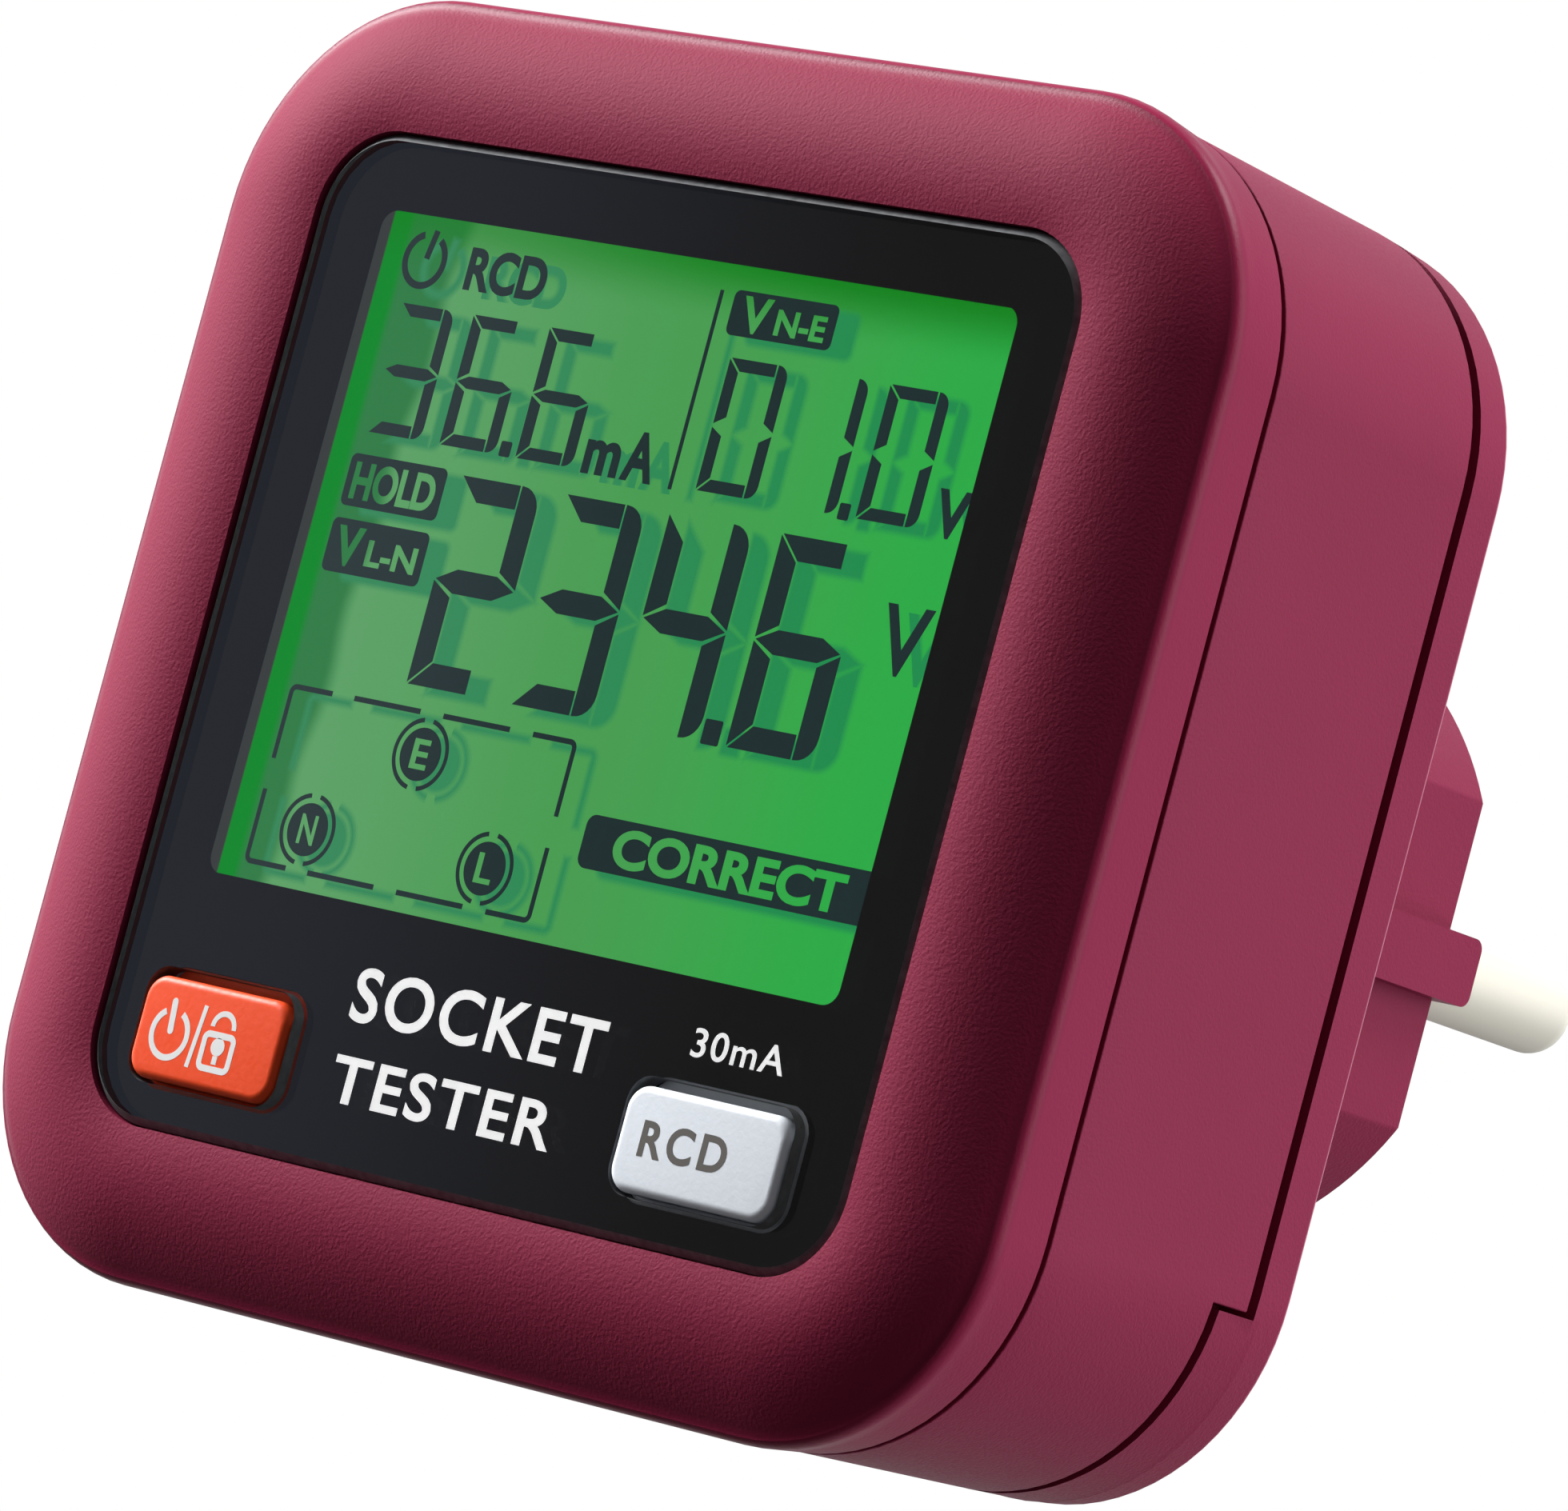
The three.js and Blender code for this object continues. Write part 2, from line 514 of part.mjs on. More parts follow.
const behindMain = MAIN_BOARD.back + GAP;
const beforePower = POWER_BOARD.front - GAP;
for (const { name, on, x, z, height, look: finishName } of BLOCKS) {
  const front = on === "main" ? behindMain : beforePower - height;
  add(name, box(x[0], x[1], front, front + height, z[0], z[1]), look[finishName]());
}
add("board_header", box(-HEADER.x, HEADER.x, behindMain, beforePower, HEADER.bottom, HEADER.top), look.black());
add("reservoir_capacitor",
  cylinder(RESERVOIR.radius, beforePower - RESERVOIR.height, beforePower, RESERVOIR.x, RESERVOIR.z, 20),
  look.black());

// Cylinder lying along X at the fuse's height.
function fusePiece(radius, length, x) {
  const geometry = new THREE.CylinderGeometry(radius, radius, length, 16);
  geometry.rotateZ(Math.PI / 2);
  geometry.translate(x, beforePower - FUSE.below, FUSE.z);
  return solid(geometry);
}

add("fuse", fusePiece(FUSE.radius, FUSE.length, FUSE.x), look.glass());
add("fuse_cap_left", fusePiece(FUSE.capRadius, FUSE.capLength, FUSE.x - FUSE.capAt), look.nickel());
add("fuse_cap_right", fusePiece(FUSE.capRadius, FUSE.capLength, FUSE.x + FUSE.capAt), look.nickel());

add("contact_carrier", contactCarrier(), look.black());
add("neutral_pin", plugPin(-1), look.nickel());
add("live_pin", plugPin(1), look.nickel());
add("earth_contact_top", earthContact(1), look.nickel());
add("earth_contact_bottom", earthContact(-1), look.nickel());
add("earth_bridge", earthBridge(), look.brass());
add("neutral_lead", pinLead(-1), look.insulation(0x2a62b8));
add("live_lead", pinLead(1), look.insulation(0x6b4226));
add("earth_lead", earthLead(), look.insulation(0x4f9a2f));
corners.forEach((corner, index) => add(`case_screw_${index + 1}`, caseScrew(corner), look.steel()));

export default tester;
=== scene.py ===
"""Looks of the outlet tester plug: fine shells, display artwork, buttons, plug and materials."""
import math

import bmesh
import bpy
from mathutils import Matrix, Vector


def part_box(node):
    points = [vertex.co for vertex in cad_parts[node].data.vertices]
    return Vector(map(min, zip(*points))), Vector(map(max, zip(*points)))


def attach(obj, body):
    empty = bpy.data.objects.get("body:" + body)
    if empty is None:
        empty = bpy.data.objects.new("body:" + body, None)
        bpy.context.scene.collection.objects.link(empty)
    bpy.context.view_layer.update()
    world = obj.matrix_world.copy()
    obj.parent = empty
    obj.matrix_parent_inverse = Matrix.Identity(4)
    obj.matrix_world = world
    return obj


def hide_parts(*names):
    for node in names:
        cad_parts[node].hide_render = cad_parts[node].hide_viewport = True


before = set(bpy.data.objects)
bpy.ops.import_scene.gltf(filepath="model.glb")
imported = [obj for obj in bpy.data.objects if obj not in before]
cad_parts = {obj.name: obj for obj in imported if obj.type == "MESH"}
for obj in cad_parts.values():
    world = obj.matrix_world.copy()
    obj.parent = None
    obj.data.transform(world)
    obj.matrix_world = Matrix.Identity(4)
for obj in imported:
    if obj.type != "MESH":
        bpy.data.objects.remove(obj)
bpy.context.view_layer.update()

MM = 0.001
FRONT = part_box("display_window")[0][1] / MM     # the clear lens's front face, in mm along Y
PLUG_END = -FRONT                               # depth of the plug body's end face


# ------------------------------------------------------------------ camera, floor and light
def srgb(red, green, blue):
    """Linear colour for a display colour given as 0 to 255."""
    channels = [c / 255 for c in (red, green, blue)]
    return [c / 12.92 if c <= 0.04045 else ((c + 0.055) / 1.055) ** 2.4 for c in channels] + [1]


AZIMUTH, ELEVATION, ROLL = (math.radians(a) for a in (41.477, -4.179, 14.942))
DISTANCE, LENS_LENGTH, SENSOR_WIDTH = 579.341, 247.14, 36
AIM = Vector((0, FRONT + 20, 0))                # the point in the case that the view turns about
SIDE_STEP, RISE = -1.37, 1.02                   # the camera's offset along its own right and up


def add_camera():
    back = Vector((math.sin(AZIMUTH) * math.cos(ELEVATION), -math.cos(AZIMUTH) * math.cos(ELEVATION),
                   math.sin(ELEVATION)))
    level = (-back).cross(Vector((0, 0, 1))).normalized()
    upright = level.cross(-back)
    right = math.cos(ROLL) * level + math.sin(ROLL) * upright
    up = -math.sin(ROLL) * level + math.cos(ROLL) * upright
    place = AIM + back * DISTANCE + right * SIDE_STEP + up * RISE
    data = bpy.data.cameras.new("camera")
    data.sensor_width = SENSOR_WIDTH
    data.lens = LENS_LENGTH
    data.clip_start, data.clip_end = 0.01, 20
    camera = bpy.data.objects.new("camera", data)
    axes = Matrix((right, up, back)).transposed().to_4x4()
    camera.matrix_world = Matrix.Translation(place * MM) @ axes
    bpy.context.scene.collection.objects.link(camera)
    bpy.context.scene.camera = camera


def add_light(name, place, aim, size, power, glossy=True):
    data = bpy.data.lights.new(name, "AREA")
    data.shape = "RECTANGLE"
    data.size, data.size_y = size
    data.energy = power
    light = bpy.data.objects.new(name, data)
    light.location = place
    light.rotation_euler = (Vector(aim) - Vector(place)).to_track_quat("-Z", "Y").to_euler()
    light.visible_camera = False
    light.visible_glossy = glossy
    bpy.context.scene.collection.objects.link(light)


def add_studio():
    """White surroundings, brighter behind the object than in front, and five soft lights."""
    world = bpy.data.worlds.new("studio")
    bpy.context.scene.world = world
    world.use_nodes = True
    tree = Tree(world.node_tree)
    split = tree.add("ShaderNodeSeparateXYZ", Vector=tree.add("ShaderNodeTexCoord").outputs["Generated"])
    behind = tree.smooth(split.outputs["Y"], -0.25, 0.7, 0.11, 0.66)
    above = tree.smooth(split.outputs["Z"], -0.8, 0.5, 0.8, 1.0)
    seen = tree.add("ShaderNodeBackground", Color=(1, 1, 1, 1), Strength=1.0)
    lighting = tree.add("ShaderNodeBackground", Color=(1, 1, 1, 1),
                        Strength=tree.math("MULTIPLY", behind, above))
    path = tree.add("ShaderNodeLightPath")
    mix = tree.add("ShaderNodeMixShader", (path.outputs["Is Camera Ray"], lighting, seen))
    tree.add("ShaderNodeOutputWorld", Surface=mix.outputs[0])

    add_light("key", (-0.78, -0.355, 0.54), (0, -0.04, 0), (0.5, 0.5), 25.5)
    add_light("fill_right", (0.80, 0.35, 0.30), (0, -0.03, 0), (0.5, 0.9), 5.9)
    add_light("back_top", (0.30, 0.25, 0.90), (0, -0.03, 0), (0.6, 0.4), 9)
    add_light("under", (0.25, 0.50, -0.20), (0, -0.02, 0), (0.4, 0.15), 1.9, glossy=False)
    add_light("left_edge", (-0.98, -0.10, 0.10), (0, -0.04, 0), (0.3, 0.7), 3.5)


def add_floor():
    """Pale floor well below the tester, which a wall socket holds up. It is plain white beyond 0.35 m."""
    half, level, white_from = 1.5, -0.25, 0.12      # in metres, and the last one in square metres
    mesh = bpy.data.meshes.new("floor")
    mesh.from_pydata([(-half, -half, level), (half, -half, level), (half, half, level), (-half, half, level)],
                     [], [(0, 1, 2, 3)])
    floor = bpy.data.objects.new("floor", mesh)
    bpy.context.scene.collection.objects.link(floor)
    pale, black, white = (0.86, 0.86, 0.86, 1), (0, 0, 0, 1), (1, 1, 1, 1)
    material, tree, shader = principled("floor_white", pale, roughness=0.9)
    split = tree.add("ShaderNodeSeparateXYZ", Vector=tree.add("ShaderNodeTexCoord").outputs["Object"])
    squares = [tree.math("MULTIPLY", split.outputs[axis], split.outputs[axis]) for axis in "XY"]
    away = tree.smooth(tree.math("ADD", *squares), 0.0, white_from)
    tree.link(tree.mix(away, pale, black), shader.inputs["Base Color"])
    tree.link(tree.mix(away, black, white), shader.inputs["Emission Color"])
    shader.inputs["Emission Strength"].default_value = 1.0
    mesh.materials.append(material)
    floor.visible_diffuse = False               # it lights nothing, so the underside stays in shade
    floor.visible_glossy = False
    floor.visible_transmission = False


# ------------------------------------------------------------------ node material helpers
class Tree:
    """Short way to add shader nodes: a keyword names an input, and its value is a number or a socket."""

    def __init__(self, tree):
        self.tree = tree
        tree.nodes.clear()

    def add(self, kind, inputs=None, props=None, **named):
        node = self.tree.nodes.new(kind)
        for name, value in (props or {}).items():
            setattr(node, name, value)
        pairs = list(enumerate(inputs)) if inputs else []
        pairs += [(name.replace("_", " ") if name.replace("_", " ") in node.inputs else name, value)
                  for name, value in named.items()]
        for key, value in pairs:
            if value is None:
                continue
            if hasattr(value, "outputs"):
                value = value.outputs[0]
            if isinstance(value, bpy.types.NodeSocket):
                self.tree.links.new(value, node.inputs[key])
            else:
                node.inputs[key].default_value = value
        return node

    def link(self, source, target):
        self.tree.links.new(source, target)

    def math(self, operation, *values):
        return self.add("ShaderNodeMath", values, {"operation": operation}).outputs[0]

    def smooth(self, value, low, high, to_low=0.0, to_high=1.0):
        node = self.add("ShaderNodeMapRange", (value, low, high, to_low, to_high),
                        {"interpolation_type": "SMOOTHSTEP"})
        return node.outputs[0]

    def mix(self, factor, first, second):
        node = self.tree.nodes.new("ShaderNodeMix")
        node.data_type = "RGBA"
        for index, value in ((0, factor), (6, first), (7, second)):
            if isinstance(value, bpy.types.NodeSocket):
                self.tree.links.new(value, node.inputs[index])
            else:
                node.inputs[index].default_value = value
        return node.outputs[2]


def principled(name, colour, roughness=0.5, metallic=0.0, **more):
    """A Principled material with its plain values set on the shader's own sockets."""
    material = bpy.data.materials.new(name)
    material.use_nodes = True
    tree = Tree(material.node_tree)
    shader = tree.add("ShaderNodeBsdfPrincipled")
    shader.inputs["Base Color"].default_value = colour
    shader.inputs["Roughness"].default_value = roughness
    shader.inputs["Metallic"].default_value = metallic
    for key, value in more.items():
        shader.inputs[key.replace("_", " ")].default_value = value
    tree.add("ShaderNodeOutputMaterial", Surface=shader.outputs[0])
    return material, tree, shader


def object_noise(tree, scale, detail=2.0, distortion=0.0, stretch=None):
    coords = tree.add("ShaderNodeTexCoord").outputs["Object"]
    if stretch:
        coords = tree.add("ShaderNodeMapping", Vector=coords, Scale=stretch).outputs[0]
    return tree.add("ShaderNodeTexNoise", Vector=coords, Scale=scale, Detail=detail,
                    Distortion=distortion).outputs["Fac"]


def bump(tree, shader, height, strength, depth):
    node = tree.add("ShaderNodeBump", Strength=strength, Distance=depth, Height=height)
    tree.link(node.outputs[0], shader.inputs["Normal"])


def along(tree, axis):
    """The piece's own coordinate on one axis, in mm."""
    split = tree.add("ShaderNodeSeparateXYZ", Vector=tree.add("ShaderNodeTexCoord").outputs["Object"])
    return tree.math("DIVIDE", split.outputs[axis], MM)


def depth_behind_front(tree):
    """Distance behind the panel's front, in mm."""
    return tree.math("SUBTRACT", along(tree, "Y"), FRONT)


def shades(tree, factor, colour, variation):
    """A colour that goes from a little darker to a little lighter."""
    darker = [c * (1 - variation) for c in colour[:3]] + [1]
    lighter = [min(1, c * (1 + variation)) for c in colour[:3]] + [1]
    return tree.mix(factor, darker, lighter)


CLOUD = 90                                      # noise scale of the faint clouds in the plastic
# painted highlight colour for the rounded back edge of the case
EDGE_HIGHLIGHT_PINK = srgb(226, 170, 190)


def moulded(name, colour, roughness, grain=3200, depth=0.00002, strength=0.5, variation=0.06,
            highlight_edge_depth=None, **more):
    """Moulded plastic: fine grain, a little cloudiness, and a painted highlight, a paler band on the rounded
    edge just in front of the given edge depth.
    """
    material, tree, shader = principled(name, colour, roughness, **more)
    fine = object_noise(tree, grain, 2.0, 0.3)
    cloud = tree.math("ADD", tree.math("MULTIPLY", object_noise(tree, CLOUD, 3.0), 0.4),
                      tree.math("MULTIPLY", fine, 0.6))
    tint = shades(tree, cloud, colour, variation)
    if highlight_edge_depth:
        # painted highlight: a pale band along the rounded back edge
        behind = depth_behind_front(tree)
        band = tree.math("MULTIPLY", tree.smooth(behind, highlight_edge_depth - 0.45, highlight_edge_depth - 0.2),
                         tree.smooth(behind, highlight_edge_depth - 0.12, highlight_edge_depth - 0.02, 0.5, 0.0))
        tint = tree.mix(band, tint, EDGE_HIGHLIGHT_PINK)
    tree.link(tint, shader.inputs["Base Color"])
    tree.link(tree.smooth(fine, 0.3, 0.7, roughness - 0.05, roughness + 0.05), shader.inputs["Roughness"])
    bump(tree, shader, fine, strength, depth)
    return material


# ------------------------------------------------------------------ mesh helpers
CORNER_STEPS = 18
FAR = 60                                        # past the object's side, for cutting boxes


def loop(half_x, depth, corner, half_z=None, x=0.0, z=0.0, steps=CORNER_STEPS):
    """Rounded rectangle about (x, z) at one depth behind the panel's front, in mm."""
    half_z = half_x if half_z is None else half_z
    points = []
    for quarter in range(4):
        side_x = 1 if quarter in (0, 3) else -1
        side_z = 1 if quarter < 2 else -1
        for step in range(steps + 1):
            angle = (quarter + step / steps) * math.pi / 2
            points.append((x + side_x * (half_x - corner) + corner * math.cos(angle), FRONT + depth,
                           z + side_z * (half_z - corner) + corner * math.sin(angle)))
    return points


def new_object(name, bm, smooth_angle=35):
    bmesh.ops.recalc_face_normals(bm, faces=bm.faces)
    mesh = bpy.data.meshes.new(name)
    bm.to_mesh(mesh)
    bm.free()
    piece = bpy.data.objects.new(name, mesh)
    bpy.context.scene.collection.objects.link(piece)
    shade(piece, smooth_angle)
    return piece


def shade(piece, angle=35):
    mesh = piece.data
    mesh.polygons.foreach_set("use_smooth", [True] * len(mesh.polygons))
    mesh.set_sharp_from_angle(angle=math.radians(angle))
    mesh.update()


def skin(name, loops, ring=False, smooth_angle=35):
    """Joins loops from front to back: a ring closes on itself, anything else gets two caps."""
    bm = bmesh.new()
    rows = [[bm.verts.new([c * MM for c in point]) for point in points] for points in loops]
    pairs = list(zip(rows, rows[1:])) + ([(rows[-1], rows[0])] if ring else [])
    for here, there in pairs:
        for i in range(len(here)):
            j = (i + 1) % len(here)
            bm.faces.new((here[i], here[j], there[j], there[i]))
    if not ring:
        bm.faces.new(rows[0])
        bm.faces.new(rows[-1])
    return new_object(name, bm, smooth_angle)


def box_piece(name, x, depth, z):
    """Box from (low, high) pairs in mm, the second of them counted behind the panel's front."""
    bm = bmesh.new()
    bmesh.ops.create_cube(bm, size=1)
    for vert in bm.verts:
        for axis, (low, high) in enumerate((x, (FRONT + depth[0], FRONT + depth[1]), z)):
            vert.co[axis] = (low if vert.co[axis] < 0 else high) * MM
    return new_object(name, bm)


def turned(name, profile, x=0.0, z=0.0, sides=48, smooth_angle=35):
    """Body of revolution along the depth axis; the profile is (radius, depth) from end to end."""
    bm = bmesh.new()
    rows = []
    for radius, depth in profile:
        if radius == 0:
            rows.append([bm.verts.new((x * MM, (FRONT + depth) * MM, z * MM))])
            continue
        turns = [2 * math.pi * i / sides for i in range(sides)]
        rows.append([bm.verts.new(((x + radius * math.cos(turn)) * MM, (FRONT + depth) * MM,
                                   (z + radius * math.sin(turn)) * MM)) for turn in turns])
    for here, there in zip(rows, rows[1:]):
        for i in range(sides):
            j = (i + 1) % sides
            corners = [here[i % len(here)], here[j % len(here)], there[j % len(there)], there[i % len(there)]]
            unique = list(dict.fromkeys(corners))
            if len(unique) > 2:
                bm.faces.new(unique)
    return new_object(name, bm, smooth_angle)


def cylinder(name, radius, start, end, x=0.0, z=0.0, sides=48):
    return turned(name, [(0, start), (radius, start), (radius, end), (0, end)], x, z, sides)


def apply_modifiers(piece):
    depsgraph = bpy.context.evaluated_depsgraph_get()
    mesh = bpy.data.meshes.new_from_object(piece.evaluated_get(depsgraph))
    piece.modifiers.clear()
    piece.data = mesh


def combine(piece, others, operation):
    """Joins or cuts with exact booleans; the other objects are used up."""
    for other in others:
        modifier = piece.modifiers.new("combine", "BOOLEAN")
        modifier.operation = operation
        modifier.solver = "EXACT"
        modifier.object = other
    apply_modifiers(piece)
    for other in others:
        bpy.data.objects.remove(other)
    return piece


def soften(piece, width, segments=2, angle=40):
    """Small rounded edges with flat faces kept flat."""
    modifier = piece.modifiers.new("soften", "BEVEL")
    modifier.width = width * MM
    modifier.segments = segments
    modifier.limit_method = "ANGLE"
    modifier.angle_limit = math.radians(angle)
    apply_modifiers(piece)
    shade(piece, 60)
    weighted = piece.modifiers.new("weighted", "WEIGHTED_NORMAL")
    weighted.keep_sharp = True
    return piece


def place(piece, material, body="case", slot=None, replaces=()):
    piece.data.materials.clear()
    piece.data.materials.append(material)
    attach(piece, body)
    if replaces:
        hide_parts(*replaces)
    return piece


# ------------------------------------------------------------------ case shells
WALL, GAP = 2.2, 0.3
CASE_CORNER = 13.3
RIDGE, RIDGE_DEPTH, RIDGE_ROUND = 36.0, 2.6, 0.5
SEAM_FRONT, SEAM_BACK = 6.37, 6.7
GROOVE_FRONT, GROOVE_BACK = 24.35, 25.15
CASE_BACK = 28.2
STATIONS = ((RIDGE_DEPTH, RIDGE), (SEAM_FRONT, 35.62), (GROOVE_FRONT, 34.95), (CASE_BACK, 34.7))
SKIRT_TOP, SKIRT_START, SKIRT_GROOVE = -22.6, 22.0, 21.33
TONGUE_DEPTH, TONGUE_WALL = 2.2, 1.2
PANEL_X, PANEL_Z, PANEL_CORNER, PANEL_CENTRE = 27.35, 27.7, 4.9, 0.17
LENS_BACK, MASK_FRONT, MASK_BACK, LCD_FRONT = 1.45, 1.5, 1.9, 2.0
PANEL_SEAT = MASK_BACK + 0.05
SEAT_GAP = 0.1                                  # gap seen round the lens
LEDGE_X, LEDGE_Z, LEDGE_CORNER, LEDGE_BACK, LEDGE_FOOT = PANEL_X - 1.6, PANEL_Z - 1.3, 1.2, 3.6, 4.4
SHARP, TONGUE_FRONT = 0.1, 20.4                 # a small bevel, and the front of the rear cover's tongue
OVERLAP = 0.5                                   # how far shells that are joined run into each other
POST_AT, POST_RADIUS, POST_SPLIT, POST_HOLE, POST_BOTTOM = 27.2, 2.5, 18.2, 1.4, 9.0
HEAD_RADIUS, HEAD_FRONT = 2.4, 25.4
CORNERS = ((1, 1), (-1, 1), (-1, -1), (1, -1))


def case_half(depth):
    """Half size of the case's outside behind the ridge."""
    index = 0
    while index < len(STATIONS) - 2 and depth > STATIONS[index + 1][0]:
        index += 1
    (d0, a0), (d1, a1) = STATIONS[index], STATIONS[index + 1]
    return a0 + (a1 - a0) * (depth - d0) / (d1 - d0)


def outside(depth, inset=0.0, at=None):
    return loop(case_half(depth) - inset, depth if at is None else at, CASE_CORNER - inset)


def posts(prefix, radius, start, end):
    return [cylinder(f"{prefix}_{i}", radius, start, end, sx * POST_AT, sz * POST_AT, 32)
            for i, (sx, sz) in enumerate(CORNERS)]


CROWN_STEPS, CREST, CREST_DEPTH, CROWN_FALL = 22, 0.22, -0.2, 3.5


def bezel_loops():
    """The crown from the panel's edge to the ridge, then the ridge's own small round."""
    inner, start_corner = PANEL_X + SEAT_GAP, PANEL_CORNER + SEAT_GAP
    outer, end_corner = RIDGE - RIDGE_ROUND, CASE_CORNER - RIDGE_ROUND
    loops = []
    for step in range(CROWN_STEPS + 1):
        t = step / CROWN_STEPS
        half = inner + (outer - inner) * t
        depth = CREST_DEPTH + CROWN_FALL * (t - CREST) ** 2
        corner = start_corner + (end_corner - start_corner) * t
        half_z = half + (1 - t) * (PANEL_Z - PANEL_X)
        loops.append(loop(half, depth, corner, half_z, z=PANEL_CENTRE * (1 - t)))
    end_depth = CREST_DEPTH + CROWN_FALL * (1 - CREST) ** 2
    for step in range(1, 6):
        angle = step / 6 * math.pi / 2
        loops.append(loop(outer + RIDGE_ROUND * math.sin(angle) ** 0.8,
                          end_depth + (RIDGE_DEPTH + 0.35 - end_depth) * (1 - math.cos(angle)),
                          end_corner + RIDGE_ROUND * math.sin(angle)))
    return loops


def add_front_cover(material):
    loops = bezel_loops() + [
        outside(RIDGE_DEPTH + 0.4),
        outside(SEAM_FRONT - SHARP), outside(SEAM_FRONT, SHARP), outside(SEAM_FRONT, WALL),
        outside(SEAM_FRONT, WALL, LEDGE_FOOT),
        loop(LEDGE_X, LEDGE_BACK, LEDGE_CORNER, LEDGE_Z, z=PANEL_CENTRE),
        loop(LEDGE_X, PANEL_SEAT, LEDGE_CORNER, LEDGE_Z, z=PANEL_CENTRE),
        loop(PANEL_X + SEAT_GAP, PANEL_SEAT, PANEL_CORNER + SEAT_GAP, PANEL_Z + SEAT_GAP, z=PANEL_CENTRE),
    ]
    cover = skin("front_cover_shell", loops, ring=True, smooth_angle=28)
    combine(cover, posts("front_post", POST_RADIUS, 3.9, POST_SPLIT), "UNION")
    combine(cover, posts("front_hole", POST_HOLE, POST_BOTTOM, POST_SPLIT + 1), "DIFFERENCE")
    shade(cover, 28)
    place(cover, material, slot="case_plastic", replaces=["front_cover"])


def below(name, top, start, end):
    return box_piece(name, (-FAR, FAR), (start, end), (-FAR, top))


def add_middle_housing(material):
    inside = WALL + GAP
    tongue_front = SEAM_BACK - TONGUE_DEPTH + 0.4
    loops = [outside(SEAM_BACK, SHARP), outside(SEAM_BACK + SHARP)]
    loops += [outside(SEAM_BACK + (GROOVE_FRONT - SEAM_BACK) * k / 6) for k in range(1, 7)]
    loops += [
        outside(GROOVE_FRONT, WALL),
        outside(SEAM_BACK, WALL + TONGUE_WALL + GAP, SEAM_BACK + 2.5),
        outside(SEAM_BACK, inside + TONGUE_WALL, tongue_front),
        outside(SEAM_BACK, inside, tongue_front),
        outside(SEAM_BACK, inside),
    ]
    housing = skin("middle_housing_shell", loops, ring=True, smooth_angle=28)
    combine(housing, [below("jog", SKIRT_TOP, SKIRT_GROOVE, GROOVE_FRONT + 1)]
            + posts("post_notch", POST_RADIUS + GAP, 2, SKIRT_GROOVE), "DIFFERENCE")
    soften(housing, 0.12, 2, 50)
    place(housing, material, slot="case_plastic", replaces=["middle_housing"])


BOSS_RADIUS, BOSS_FLAT, BOSS_WALL, BOSS_END = 18.6, 16.1, 2.0, 2.5
RIB_OUT, RIB_HALF, RIB_END = 17.4, 1.94, 58.6
PIN_X, PIN_RADIUS, PIN_TIP, PIN_BACK, PIN_FLANGE = 9.5, 2.4, 76.5, 40.0, 3.2
PIN_SHANK, PIN_STEP, PIN_SHOULDER, PIN_ROUND = 1.6, 1.2, 43.7, 2.0
SLOT_HALF, SLOT_FLOOR, SLOT_FRONT, TAIL, TAIL_HALF, SLOT_BACKING = 3.2, 16.4, 31.0, 33.0, 2.6, 1.6


def boss(name, radius, flat, start, end):
    body = cylinder(name, radius, start, end, sides=128)
    flats = box_piece(name + "_flats", (-flat, flat), (start - 1, end + 1), (-30, 30))
    return combine(body, [flats], "INTERSECT")


def rib(name, side):
    """Key rib on a flat of the plug body, with the corners of its free end rounded."""
    bm = bmesh.new()
    start, round_ = CASE_BACK - 1, 0.7
    outline = [(start, -RIB_HALF)]
    for step in range(9):
        angle = step / 8 * math.pi / 2
        outline.append((RIB_END - round_ + round_ * math.sin(angle),
                        -RIB_HALF + round_ - round_ * math.cos(angle)))
    outline += [(depth, -z) for depth, z in reversed(outline)]
    rows = [[bm.verts.new((side * x * MM, (FRONT + depth) * MM, z * MM)) for depth, z in outline]
            for x in (BOSS_FLAT - 1, RIB_OUT)]
    for i in range(len(outline)):
        j = (i + 1) % len(outline)
        bm.faces.new((rows[0][i], rows[0][j], rows[1][j], rows[1][i]))
    bm.faces.new(rows[0])
    bm.faces.new(rows[1])
    return new_object(name, bm)


def z_span(side, low, high):
    return (low, high) if side > 0 else (-high, -low)


